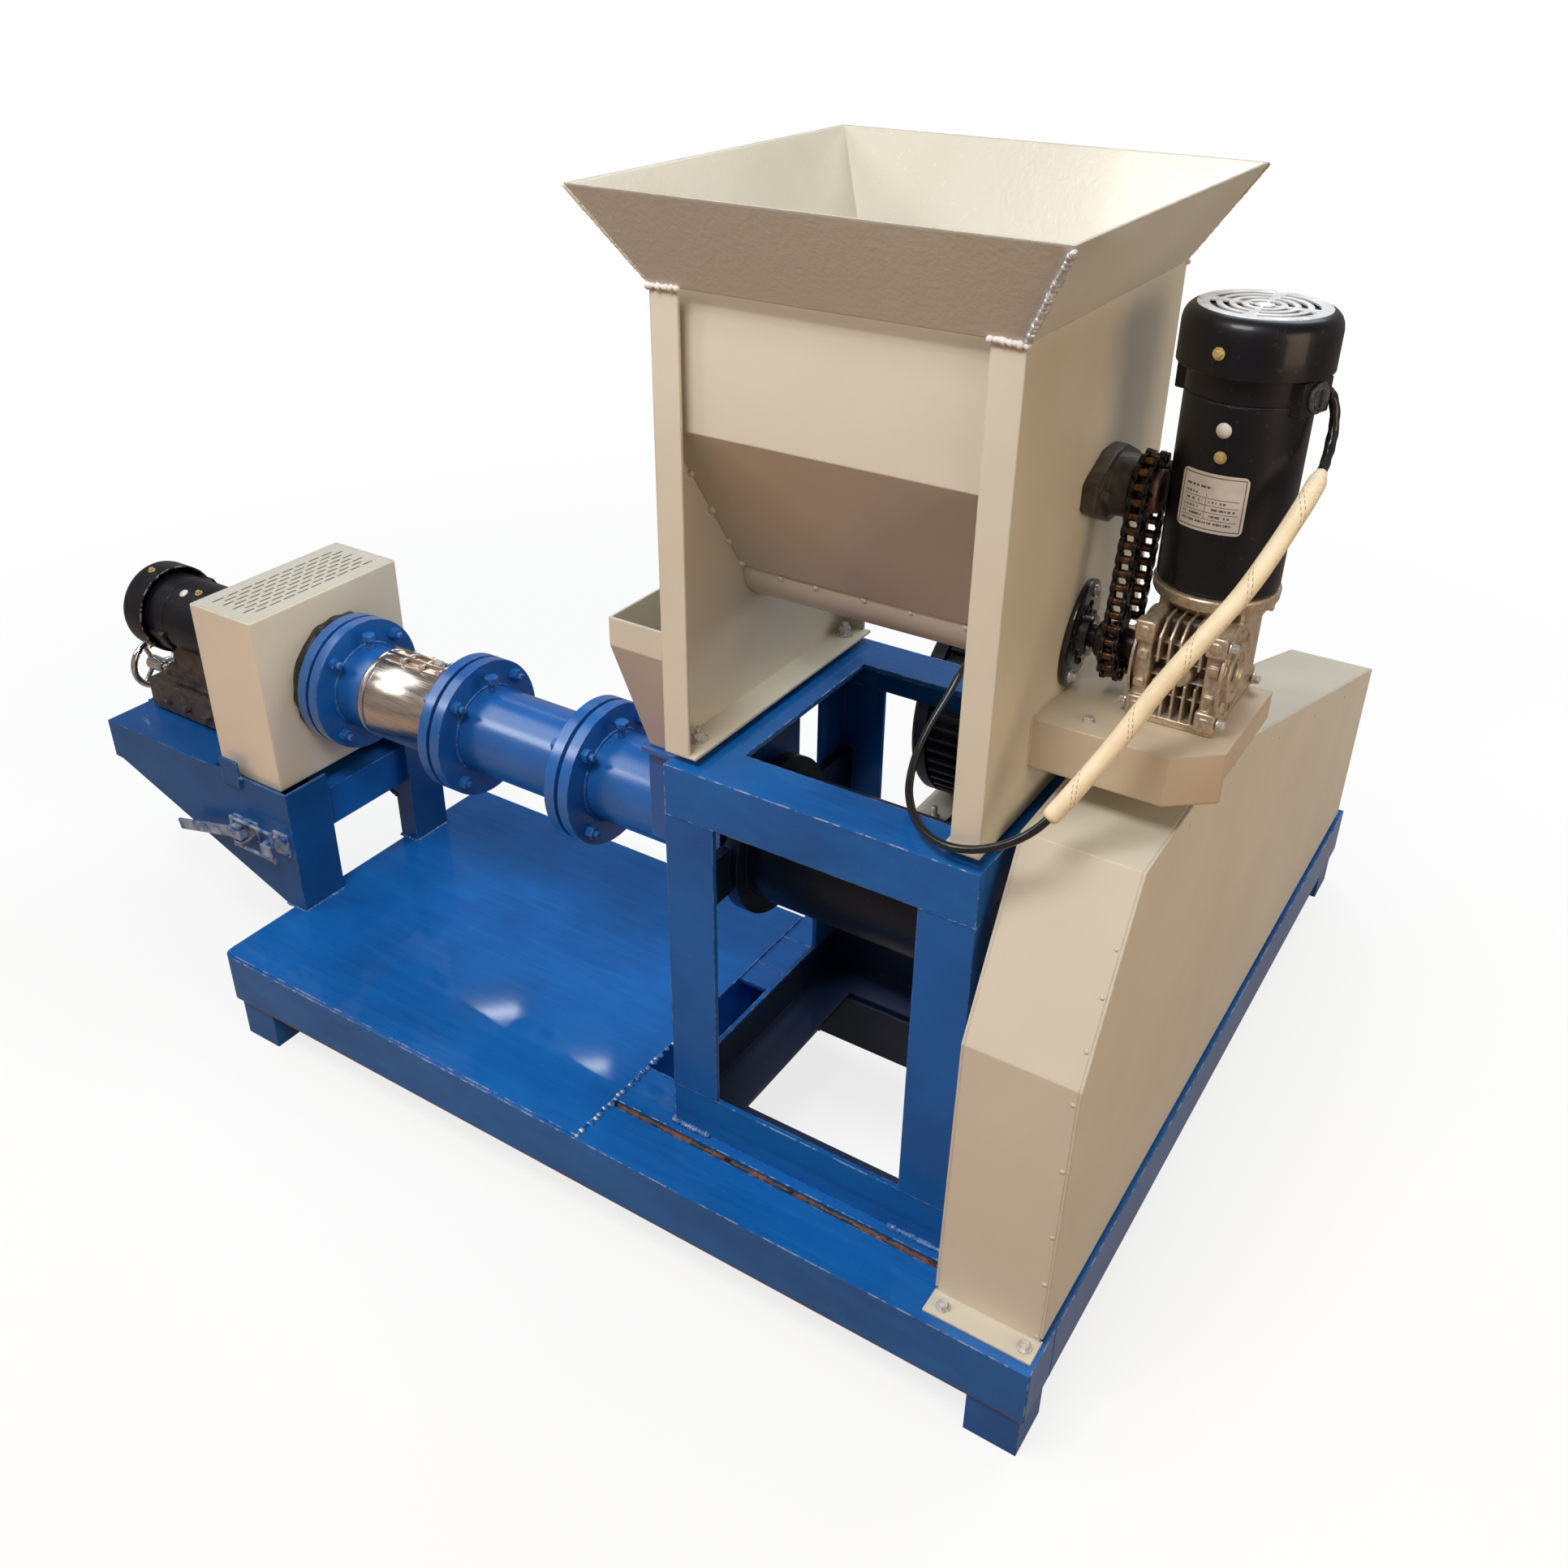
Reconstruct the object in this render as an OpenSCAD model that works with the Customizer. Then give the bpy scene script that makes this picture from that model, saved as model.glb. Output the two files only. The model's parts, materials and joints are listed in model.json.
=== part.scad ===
// Single-screw fish feed extruder on a welded base, with its feed hopper,
// worm-geared feed drive, belt guard and face cutter. Millimetres, +Z up.
// The origin is under the middle of the machine, at floor level.

/* [Base] */

// length of the base along the barrel
base_length = 1200; // [1100:10:1300]
// depth of the base on the belt side
base_depth = 1225; // [1150:5:1300]
// depth of the bay under the barrel
bay_depth = 510; // [500:5:600]
// height of the base channels
channel_height = 73; // [60:1:90]
// width of the base channel flanges
channel_width = 67; // [60:1:75]
// radius of the rounded corner at the front left
corner_radius = 14; // [8:1:20]
// height of the feet under the base
foot_height = 60; // [40:5:100]

/* [Tower] */

// height of the angle iron tower
tower_height = 494; // [470:1:520]
// leg width of the tower angle iron
angle_width = 60; // [50:1:65]
// thickness of the tower angle iron
angle_wall = 6; // [4:1:8]

/* [Hopper] */

// height of the hopper body above its feet
hopper_height = 467; // [440:1:500]
// height of the flared collar
flare_height = 84; // [60:1:110]
// how far the collar flares out
flare_overhang = 48; // [30:1:60]
// radius of the round feed tube
feed_tube_radius = 44; // [38:1:48]

/* [Barrel] */

// radius of the barrel tube
barrel_radius = 58.5; // [50:0.5:64]
// radius of the barrel flanges
flange_radius = 92.5; // [85:0.5:100]
// thickness of one flange
flange_thick = 15; // [12:1:16]

/* [Cutter] */

// height of the cutter cover
cover_height = 256; // [240:1:280]
// radius of the motor bodies
motor_radius = 54.5; // [50:0.5:56]
// radius of the motor fan covers
fan_radius = 65; // [60:0.5:66]

/* [Guard] */

// width of the belt guard
guard_width = 120; // [110:1:124]
// thickness of the guard sheet
guard_wall = 2.5; // [1.5:0.5:4]

/* [Hidden] */

$fn = 72;
machine_left = 1602;
machine_right = 47.3;
ox = (machine_left - machine_right) / 2;
oy = -base_depth / 2;
oz = foot_height + channel_height;

barrel_y = 274;
barrel_z = 314;
feed_y = 283;
feed_z = 659;
stir_y = 307;
stir_z = 802;
chain_x = -103.5;
cutter_y = 246;
cutter_z = 346;
drive_x = -35;
drive_y = 324;
main_y = 919;
main_z = 190;
main_radius = 155;
tower_left = -495;
tower_right = -139;
tower_front = 90;
tower_back = 457;
hopper_left = -499;
hopper_right = -146;
hopper_front = 99.5;
hopper_back = 457.5;
hopper_foot = 503;
hopper_top = hopper_foot + hopper_height;
mid_x = -576;
guard_left = -125;
guard_right = guard_left + guard_width;

blue = [0.07, 0.26, 0.55];
beige = [0.80, 0.74, 0.64];
black = [0.07, 0.07, 0.08];
dark = [0.20, 0.19, 0.18];
steel = [0.72, 0.70, 0.67];
alloy = [0.66, 0.63, 0.58];

// moves to the near right top corner of the base, where the sizes start
module at_base() {
    translate([ox, oy, oz]) children();
}

// a box given by its two ends along each axis
module block(x, y, z) {
    translate([x[0], y[0], z[0]])
        cube([x[1] - x[0], y[1] - y[0], z[1] - z[0]]);
}

// a round bar along X between two stations
module bar_x(x0, x1, y, z, r) {
    translate([x0, y, z]) rotate([0, 90, 0]) cylinder(h = x1 - x0, r = r);
}

// a Y-Z outline drawn out along X
module along_x(x0, x1, points) {
    translate([x0, 0, 0]) rotate([90, 0, 90])
        linear_extrude(height = x1 - x0) polygon(points);
}

// an X-Z outline drawn out along Y
module along_y(y0, y1, points) {
    translate([0, y1, 0]) rotate([90, 0, 0])
        linear_extrude(height = y1 - y0) polygon(points);
}

// a channel along X with plated ends, and its web on the front or the back
module channel_x(x0, x1, y, back = false) {
    w = channel_width;
    difference() {
        block([x0, x1], [y, y + w], [-channel_height, 0]);
        block([x0 + 6, x1 - 6], back ? [y - 1, y + w - 6] : [y + 6, y + w + 1],
              [-channel_height + 6, -6]);
    }
}

// a channel along Y, with its web on the right or on the left
module channel_y(x, y0, y1, left = false) {
    w = channel_width;
    difference() {
        block([x, x + w], [y0, y1], [-channel_height, 0]);
        block(left ? [x + 6, x + w + 1] : [x - 1, x + w - 6],
              [y0 - 1, y1 + 1], [-channel_height + 6, -6]);
    }
}

// rounds the front left corner of what it holds, at x, y
module round_corner(x, y) {
    r = corner_radius;
    h = channel_height + 8;
    difference() {
        children();
        translate([x, y, -channel_height - 4]) difference() {
            translate([-1, -1, 0]) cube([r + 1, r + 1, h]);
            translate([r, r, -1]) cylinder(r = r, h = h + 2);
        }
    }
}

module base_long_beams() {
    color(blue) at_base() {
        round_corner(-base_length, 0) channel_x(-base_length, 0, 0);
        channel_x(mid_x, -channel_width, 77);
        channel_x(mid_x, -channel_width, 390);
        channel_x(-base_length, mid_x, bay_depth - channel_width, true);
        channel_x(mid_x, 0, base_depth - channel_width, true);
    }
}

module base_cross_beams() {
    w = channel_width;
    color(blue) at_base() {
        channel_y(-w, w, base_depth - w);
        channel_y(-base_length, w, bay_depth - w, true);
        channel_y(mid_x - w, w, bay_depth - w);
        channel_y(mid_x, 457, base_depth - w, true);
    }
}

module base_angles() {
    color(blue) at_base() {
        block([-495, -489], [144, 390], [-channel_height, 0]);
        block([mid_x, -495], [144, 390], [-channel_height, -67]);
        block([mid_x, -495], [348, 390], [-6, 0]);
    }
}

module base_sheet() {
    color(blue) at_base() round_corner(-base_length + 3, 3)
        block([-base_length + 3, mid_x], [3, bay_depth - 3], [0, 3]);
}

module feet() {
    xs = [-base_length + 18, mid_x + 8, -64];
    color(blue) at_base() {
        for (x = [xs[0], xs[2]])
            block([x, x + 60], [4, 64], [-oz, -channel_height]);
        for (x = [xs[0], xs[1]])
            block([x, x + 60], [bay_depth - 64, bay_depth - 4],
                  [-oz, -channel_height]);
        for (x = [xs[1], xs[2]])
            block([x, x + 60], [base_depth - 64, base_depth - 4],
                  [-oz, -channel_height]);
    }
}

// one upright angle with its corner at x, y and its legs along dx and dy
module post(x, y, dx, dy) {
    a = angle_width;
    t = angle_wall;
    z = [angle_width, tower_height - angle_width];
    block(dx > 0 ? [x, x + a] : [x - a, x], dy > 0 ? [y, y + t] : [y - t, y], z);
    block(dx > 0 ? [x, x + t] : [x - t, x], dy > 0 ? [y, y + a] : [y - a, y], z);
}

module tower_posts() {
    color(blue) at_base() {
        post(tower_left, tower_front, 1, 1);
        post(tower_right, tower_front, -1, 1);
        post(tower_left, tower_back, 1, -1);
        post(tower_right, tower_back, -1, -1);
    }
}

// a rectangle of angle iron, with the flat legs at the given height
module angle_ring(z, flat) {
    a = angle_width;
    t = angle_wall;
    x = [tower_left, tower_right];
    y = [tower_front, tower_back];
    difference() {
        block(x, y, z);
        block([x[0] + t, x[1] - t], [y[0] + t, y[1] - t], flat);
        block([x[0] + a, x[1] - a], [y[0] + a, y[1] - a], [z[0] - 1, z[1] + 1]);
    }
}

module tower_frames() {
    low = [0, angle_width];
    top = [tower_height - angle_width, tower_height];
    color(blue) at_base() {
        angle_ring(low, [angle_wall, low[1] + 1]);
        angle_ring(top, [top[0] - 1, top[1] - angle_wall]);
    }
}

module bearing_housing() {
    back = tower_back - angle_wall;
    front = tower_front + angle_wall;
    color(dark) at_base() {
        bar_x(-488, -129, barrel_y, barrel_z, 77);
        bar_x(-484, -466, barrel_y, barrel_z, 96);
        block([-488, -476], [front, back], [barrel_z - 30, barrel_z + 30]);
        block([-158, -146], [front, back], [barrel_z - 30, barrel_z + 30]);
    }
}

// one pair of bolted flanges is this wide, with a dark ring in its gap
pair = 2 * flange_thick + 6;
joint_a = -713;
joint_b = -924;
joint_c = -1147;

module flange(x) {
    bar_x(x - flange_thick, x, barrel_y, barrel_z, flange_radius);
}

module inlet_barrel() {
    color(blue) at_base() difference() {
        union() {
            bar_x(joint_a - flange_thick, -489, barrel_y, barrel_z,
                  barrel_radius);
            flange(joint_a);
            bar_x(joint_a - flange_thick - 3, joint_a - 1, barrel_y,
                  barrel_z, flange_radius - 9);
            block([-592, -496], [190, 358], [barrel_z, 430]);
            block([-596, -496], [182, 366], [430, 438]);
        }
        block([-580, -508], [barrel_y - 40, barrel_y + 40], [330, 450]);
    }
}

module middle_barrel() {
    x0 = joint_a - pair + 3;
    color(blue) at_base() {
        bar_x(joint_b - flange_thick, joint_a - flange_thick - 3, barrel_y,
              barrel_z, barrel_radius);
        flange(joint_a - pair + flange_thick);
        flange(joint_b);
        bar_x(joint_b - flange_thick - 3, joint_b - 1, barrel_y, barrel_z,
              flange_radius - 9);
        bar_x(x0, joint_a - flange_thick - 3, barrel_y, barrel_z,
              flange_radius - 9);
    }
}

module die_barrel() {
    color(blue) at_base() {
        bar_x(joint_c - flange_thick, joint_b - flange_thick - 3, barrel_y,
              barrel_z, barrel_radius);
        flange(joint_b - pair + flange_thick);
        flange(joint_c);
        bar_x(joint_c - flange_thick - 3, joint_c - 1, barrel_y, barrel_z,
              flange_radius - 9);
        bar_x(joint_b - pair + 3, joint_b - flange_thick - 3, barrel_y,
              barrel_z, flange_radius - 9);
    }
}

module heater_band() {
    color(steel) at_base() difference() {
        union() {
            bar_x(-1103, -966, barrel_y, barrel_z, barrel_radius + 3.5);
            block([-1093, -976], [barrel_y - 12, barrel_y + 12],
                  [barrel_z + 58, barrel_z + 72]);
        }
        bar_x(-1104, -965, barrel_y, barrel_z, barrel_radius + 0.5);
        block([-1104, -965], [barrel_y - 3, barrel_y + 3],
              [barrel_z + 30, barrel_z + 80]);
    }
}

module die_head() {
    color(blue) at_base() {
        flange(joint_c - pair + flange_thick);
        bar_x(joint_c - pair + 3, joint_c - flange_thick - 3, barrel_y,
              barrel_z, flange_radius - 9);
        bar_x(-1214, joint_c - pair + 1, barrel_y, barrel_z, 70);
    }
}

module die_seal() {
    color(black) at_base() difference() {
        bar_x(-1199, joint_c - pair - 0.5, barrel_y, barrel_z, 88);
        bar_x(-1200, joint_c - pair, barrel_y, barrel_z, 70.5);
    }
}

cover_x = [-1320, -1200];
cover_y = [140, 397];
cover_z = [188, 188 + cover_height];

module cutter_cover() {
    t = 2;
    color(beige) at_base() difference() {
        block(cover_x, cover_y, cover_z);
        block([cover_x[0] + t, cover_x[1] - t], [cover_y[0] + t, cover_y[1] - t],
              [cover_z[0] - 1, cover_z[1] - t]);
        bar_x(cover_x[0] - 1, cover_x[0] + 10, cutter_y, cutter_z, 22);
        bar_x(cover_x[1] - 10, cover_x[1] + 1, barrel_y, barrel_z, 82);
    }
}

arm_top = 197;
arm_end = -1561;
arm_root = -1174;

module cutter_arms() {
    near = [[arm_end, arm_top], [arm_end, 137], [-1545, 136], [-1210, 3],
            [arm_root, 3], [arm_root, arm_top]];
    far = [[arm_end, arm_top], [arm_end, 150], [-1340, 132], [-1205, 75],
           [-1205, 3], [arm_root + 2, 3], [arm_root + 2, arm_top]];
    core = [[-1326, arm_top + 1], [-1326, 55], [-1212, 10], [arm_root - 4, 10],
            [arm_root - 4, arm_top + 1]];
    color(blue) at_base() {
        difference() {
            along_y(126, 198, near);
            along_y(130, 194, core);
            block([-1326, arm_root - 4], [190, 199], [180, arm_top + 1]);
        }
        difference() {
            along_y(344, 408, far);
            block([-1326, -1194], [343, 403], [180, arm_top + 1]);
        }
        block([-1300, -1264], [122, 126], [180, 222]);
    }
}

module arm_deck() {
    color(blue) at_base() {
        block([arm_end, -1330], [198, 344], [185, arm_top]);
        block([-1250, -1244], [198, 344], [150, 180]);
        block([-1236, -1185], [198, 344], [158, 164]);
        block([-1191, -1185], [198, 344], [105, 158]);
    }
}

slide_y = [190, 296];
screw_z = 234;

module slide_base() {
    color(dark) at_base() difference() {
        union() {
            block([-1560, -1356], [197.5, 288.5], [arm_top, 209]);
            block([-1560, -1356], [214, 272], [209, 217]);
        }
        translate([-1560, 197.5, 200]) rotate(45)
            cube([16, 16, 40], center = true);
    }
}

module slide_carriage() {
    x = [-1536, -1360];
    y = slide_y;
    color(dark) at_base() difference() {
        union() {
            block(x, y, [218, 248]);
            block(x, [y[0], y[0] + 6.5], [202, 218]);
            block(x, [y[1] - 6.5, y[1]], [202, 218]);
            block([-1520, -1376], [212, 280], [248, 262]);
            block([-1500, -1390], [218, 274], [262, 306]);
        }
        bar_x(-1540, -1350, cutter_y, cutter_z, motor_radius);
        block([-1480, -1350], [y[0] + 8, y[0] + 16], [240, 249]);
        bar_x(-1537, -1440, 243, screw_z, 7);
    }
}

module cutter_motor() {
    color(black) at_base() {
        bar_x(-1553, -1512, cutter_y, cutter_z, motor_radius - 6);
        bar_x(-1512, -1327, cutter_y, cutter_z, motor_radius);
        bar_x(-1327, -1240, cutter_y, cutter_z, 9.5);
    }
}

module cutter_fan_cover() {
    color(black) at_base() difference() {
        bar_x(-1556, -1508, cutter_y, cutter_z, fan_radius);
        bar_x(-1553, -1507, cutter_y, cutter_z, fan_radius - 3);
    }
}

module handwheel() {
    color(steel) at_base() translate([-1596, 243, screw_z]) {
        rotate([0, 90, 0]) rotate_extrude() translate([36, 0]) circle(r = 5);
        for (i = [0 : 2])
            rotate([120 * i + 20, 0, 0]) cylinder(h = 33, r = 3.5);
        translate([-6, 0, 0]) rotate([0, 90, 0]) cylinder(h = 48, r = 11);
        translate([42, 0, 0]) rotate([0, 90, 0]) cylinder(h = 60, r = 5.5);
    }
}

latch_face = 126;
latch_z = 112;
pivot_x = -1268;
pivot_y = 110;
catch_x = -1196;

module latch_base() {
    f = latch_face;
    color(blue) at_base() {
        difference() {
            union() {
                block([-1296, -1246], [f - 3, f], [latch_z - 16, latch_z + 16]);
                block([pivot_x - 7, pivot_x + 7], [pivot_y - 7, f - 3],
                      [latch_z - 16, latch_z - 12]);
                block([pivot_x - 7, pivot_x + 7], [pivot_y - 7, f - 3],
                      [latch_z + 12, latch_z + 16]);
            }
            translate([pivot_x, pivot_y, 0]) cylinder(h = 200, r = 3);
        }
        block([-1212, -1184], [f - 3, f], [latch_z - 18, latch_z + 18]);
        block([-1212, -1206], [pivot_y - 11, f - 3], [latch_z - 9, latch_z + 9]);
        block([-1206, -1192], [pivot_y - 11, pivot_y - 8],
              [latch_z - 9, latch_z + 9]);
    }
}

module latch_lever() {
    p = pivot_y;
    color(blue) at_base() difference() {
        union() {
            block([pivot_x - 22, pivot_x + 7], [p - 7, p + 6],
                  [latch_z - 7, latch_z + 7]);
            translate([pivot_x - 20, 0, latch_z]) rotate([0, -14, 0])
                block([-115, 4], [p - 7, p - 3], [-8, 8]);
            translate([pivot_x, p, latch_z - 16.5]) cylinder(h = 33, r = 2.6);
        }
        translate([pivot_x - 14, p, 0]) cylinder(h = 200, r = 3);
    }
}

module latch_bail() {
    x = pivot_x - 14;
    p = pivot_y;
    color(blue) at_base() {
        translate([x, p, latch_z - 25]) cylinder(h = 50, r = 2.6);
        for (s = [-1, 1])
            bar_x(x, catch_x - 2, p, latch_z + s * 22.4, 2.6);
        translate([catch_x - 4, p, latch_z - 25]) cylinder(h = 50, r = 2.6);
    }
}

// one folded side plate, with its lips, flange and spacers
module hopper_side(outer, s) {
    x = function (a, b) s > 0 ? [outer + a, outer + b] : [outer - b, outer - a];
    y = [hopper_front, hopper_back];
    block(x(0, 3), y, [hopper_foot, hopper_top]);
    block(x(0, 30), [y[0], y[0] + 3], [hopper_foot, hopper_top]);
    block(x(0, 30), [y[1] - 3, y[1]], [hopper_foot, hopper_top]);
    block(x(0, 38), y, [hopper_foot, hopper_foot + 3]);
    for (v = [133, 433])
        translate([outer + s * 17, v, tower_height])
            cylinder(h = hopper_foot - tower_height + 1, r = 8);
}

module hopper_left_side() {
    color(beige) at_base() difference() {
        hopper_side(hopper_left, 1);
        bar_x(hopper_left - 1, hopper_left + 4, feed_y, feed_z,
              feed_tube_radius + 0.5);
    }
}

module hopper_right_side() {
    color(beige) at_base() hopper_side(hopper_right, -1);
}

module hopper_end_panels() {
    x0 = hopper_left + 3.5;
    x1 = hopper_right - 3.5;
    knee = hopper_top - 130;
    f = hopper_front + 13;
    b = hopper_back - 13;
    color(beige) at_base() {
        along_x(x0, x1, [[f, hopper_top], [f, knee], [feed_y - 47.5, feed_z + 2],
                         [feed_y - 44.6, feed_z + 4], [f + 3, knee + 1],
                         [f + 3, hopper_top]]);
        along_x(x0, x1, [[b, hopper_top], [b, knee], [feed_y + 47.5, feed_z + 2],
                         [feed_y + 44.6, feed_z + 4], [b - 3, knee + 1],
                         [b - 3, hopper_top]]);
    }
}

// a square frustum made from two crossed trapezoids
module frustum(x, y, z, grow) {
    g = grow;
    intersection() {
        along_y(y[0] - g, y[1] + g,
                [[x[0], z[0]], [x[1], z[0]], [x[1] + g, z[1]],
                 [x[0] - g, z[1]]]);
        along_x(x[0] - g, x[1] + g,
                [[y[0], z[0]], [y[1], z[0]], [y[1] + g, z[1]],
                 [y[0] - g, z[1]]]);
    }
}

module hopper_collar() {
    x = [hopper_left, hopper_right];
    y = [hopper_front, hopper_back];
    z = [hopper_top, hopper_top + flare_height];
    w = 3.5;
    color(beige) at_base() difference() {
        frustum(x, y, z, flare_overhang);
        frustum([x[0] + w, x[1] - w], [y[0] + w, y[1] - w], z,
                flare_overhang);
        block([x[0] + w, x[1] - w], [y[0] + w, y[1] - w],
              [z[0] - 1, z[0] + 1]);
        block([x[0] - 100, x[1] + 100], [y[0] - 100, y[1] + 100],
              [z[1] - 0.01, z[1] + 1]);
    }
}

module feed_tube() {
    r = feed_tube_radius;
    color(beige) at_base() difference() {
        bar_x(-556, -149.5, feed_y, feed_z, r);
        bar_x(-557, -152, feed_y, feed_z, r - 4);
        block([-490, -160], [feed_y - 24, feed_y + 24],
              [feed_z, feed_z + r + 1]);
        block([-550, -504], [feed_y - 30, feed_y + 30],
              [feed_z - r - 1, feed_z]);
    }
}

module side_chute() {
    x = [-588, -500];
    y = [128, 438];
    z = [440, 588, 620];
    color(beige) at_base() difference() {
        along_x(x[0], x[1], [[y[0], z[2]], [y[0], z[1]], [188, z[0]],
                             [360, z[0]], [y[1], z[1]], [y[1], z[2]]]);
        along_x(x[0] + 2.5, x[1] - 2.5,
                [[y[0] + 2.5, z[2] + 1], [y[0] + 2.5, z[1]],
                 [190.5, z[0] - 1], [357.5, z[0] - 1], [y[1] - 2.5, z[1]],
                 [y[1] - 2.5, z[2] + 1]]);
        bar_x(x[1] - 4, x[1] + 1, feed_y, feed_z, feed_tube_radius + 1);
    }
}

module agitator_bearing() {
    x = hopper_right;
    color(dark) at_base() difference() {
        union() {
            translate([x, stir_y, stir_z]) rotate([90, 0, 90])
                linear_extrude(height = 14)
                    polygon([[-56, -12], [-47, -18], [-14, -33], [14, -33],
                             [47, -18], [56, -12], [56, 12], [47, 18],
                             [14, 33], [-14, 33], [-47, 18], [-56, 12]]);
            bar_x(x, x + 32, stir_y, stir_z, 29);
        }
        bar_x(x - 1, x + 33, stir_y, stir_z, 11);
    }
}

module shaft_plate() {
    x = hopper_right;
    oval = [for (a = [0:10:350]) [53 * cos(a), 34 * sin(a)]];
    color(black) at_base() difference() {
        union() {
            translate([x, feed_y, feed_z]) rotate([58, 0, 0])
                rotate([90, 0, 90]) linear_extrude(height = 6)
                    polygon(oval);
            bar_x(x, x + 16, feed_y, feed_z, 20);
        }
        bar_x(x - 1, x + 17, feed_y, feed_z, 11);
    }
}

sprocket_radius = 28.5;

module chain_sprockets() {
    r = sprocket_radius;
    color(dark) at_base() {
        bar_x(hopper_right + 3, chain_x + 13, stir_y, stir_z, 10.5);
        bar_x(chain_x - 3.5, chain_x + 3.5, stir_y, stir_z, r - 6.6);
        bar_x(chain_x + 3.5, chain_x + 12, stir_y, stir_z, 19);
        bar_x(hopper_right + 3, chain_x + 26, feed_y, feed_z, 10.5);
        bar_x(chain_x - 3.5, chain_x + 3.5, feed_y, feed_z, r - 6.6);
        bar_x(chain_x - 20, chain_x - 3.5, feed_y, feed_z, 18);
    }
}

// the chain's outline around both sprockets, grown by g
module chain_loop(h, g) {
    d = norm([stir_y - feed_y, stir_z - feed_z]);
    r = sprocket_radius + g;
    translate([chain_x - h / 2, feed_y, feed_z])
        rotate([atan2(stir_z - feed_z, stir_y - feed_y), 0, 0]) {
            bar_x(0, h, 0, 0, r);
            bar_x(0, h, d, 0, r);
            block([0, h], [0, d], [-r, r]);
        }
}

module roller_chain() {
    color(dark) at_base() difference() {
        chain_loop(16, 6);
        chain_loop(20, -6);
    }
}

module gearbox_shelf() {
    x = [hopper_right, 24];
    y = [192, 366];
    z = [557, 608];
    t = 3;
    plan = [[x[0], y[0]], [-16, y[0]], [x[1], y[0] + 34], [x[1], y[1]],
            [x[0], y[1]]];
    inner = [[x[0] + t, y[0] + t], [-18, y[0] + t], [x[1] - t, y[0] + 36],
             [x[1] - t, y[1] - t], [x[0] + t, y[1] - t]];
    color(beige) at_base() difference() {
        translate([0, 0, z[0]])
            linear_extrude(height = z[1] - z[0]) polygon(plan);
        translate([0, 0, z[0] - 1])
            linear_extrude(height = z[1] - z[0] - t + 1) polygon(inner);
        block([-80, x[1] + 1], [y[0] + 40, y[1] + 1], [z[0] - 1, z[0] + 22]);
    }
}

module worm_gearbox() {
    color(alloy) at_base() difference() {
        union() {
            block([-74, 2], [244, 366], [609, 617]);
            block([-66, -6], [250, 362], [617, 704]);
            bar_x(-77, 4, feed_y, feed_z, 37);
            block([-76, 4], [246, 262], [612, 706]);
            translate([drive_x, drive_y, 700]) cylinder(h = 14, r = 42);
            translate([drive_x, drive_y, 714]) cylinder(h = 12, r = 56);
        }
        bar_x(-10, 6, feed_y, feed_z, 13);
        bar_x(-80, -70, feed_y, feed_z, 13);
    }
}

module feed_motor() {
    color(black) at_base() {
        translate([drive_x, drive_y, 727]) cylinder(h = 196, r = motor_radius);
        translate([drive_x, drive_y, 923]) cylinder(h = 45, r = motor_radius - 6);
        translate([drive_x, drive_y, 907]) rotate(-17)
            block([40, 62], [-21, 21], [-15, 15]);
    }
}

module feed_fan_cover() {
    color(black) at_base() difference() {
        translate([drive_x, drive_y, 923]) cylinder(h = 48, r = fan_radius);
        translate([drive_x, drive_y, 922])
            cylinder(h = 46, r = fan_radius - 3);
    }
}

module main_motor() {
    r = main_radius;
    top = main_z + r;
    color(black) at_base() {
        bar_x(-552, -142, main_y, main_z, r - 12);
        bar_x(-552, -528, main_y, main_z, r);
        bar_x(-527, -150, main_y, main_z, r);
        block([-490, -250], [main_y - 145, main_y + 145], [30, 48]);
        block([-470, -270], [main_y - 110, main_y + 110], [40, 90]);
        block([-490, -380], [main_y - 58, main_y + 52], [top - 20, top + 62]);
        bar_x(-142, -128, main_y, main_z, 24);
    }
}

module motor_mount() {
    color(beige) at_base() {
        block([-556, -170], [main_y - 170, main_y + 170], [20, 30]);
        for (x = [-530, -230])
            block([x, x + 40], [457, 1190], [0, 20]);
    }
}

guard_line = [[41, 0], [49, 333], [140, 520], [385, 528], [1200, 265],
              [1200, 0]];

module guard_sheet() {
    w = guard_wall;
    inner = [[41 + w, -1], [49 + w, 332], [142, 517.4], [384.6, 525.4],
             [1200 - w, 263], [1200 - w, -1]];
    color(beige) at_base() {
        difference() {
            along_x(guard_left + 3, guard_right - 3, guard_line);
            along_x(guard_left, guard_right, inner);
        }
        block([guard_left, guard_right], [12, 41 + w], [0, w]);
    }
}

module guard_side_panels() {
    color(beige) at_base() difference() {
        for (x = [guard_left, guard_right - 3])
            along_x(x, x + 3, guard_line);
        block([guard_right - 4, guard_right + 1], [0, 1210], [-1, 8]);
        block([guard_left - 1, guard_left + 4], [0, 1210], [-1, 8]);
    }
}

// the middle of the cable from the feed motor to the main motor
cable_line = [[24.8, 328, 905], [26.9, 334.8, 904.5], [30.5, 338.8, 898],
              [35, 336.5, 882], [37.5, 326, 862], [38.8, 306, 846],
              [36, 268, 824], [18, 224, 771],
              [-6, 192, 725], [-28, 168, 684], [-48, 146, 640],
              [-68, 120, 601], [-86, 101, 569], [-101, 90, 552],
              [-124, 85, 535], [-153, 85, 521], [-184, 91, 514],
              [-215, 110, 513], [-238, 138, 515], [-254, 168, 517],
              [-272, 216, 517], [-285, 270, 520], [-293, 320, 525],
              [-302, 372, 531], [-312, 430, 528], [-330, 500, 500],
              [-358, 600, 446], [-392, 710, 402], [-420, 796, 380],
              [-428, 836, 376], [-429, 860, 375]];

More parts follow.
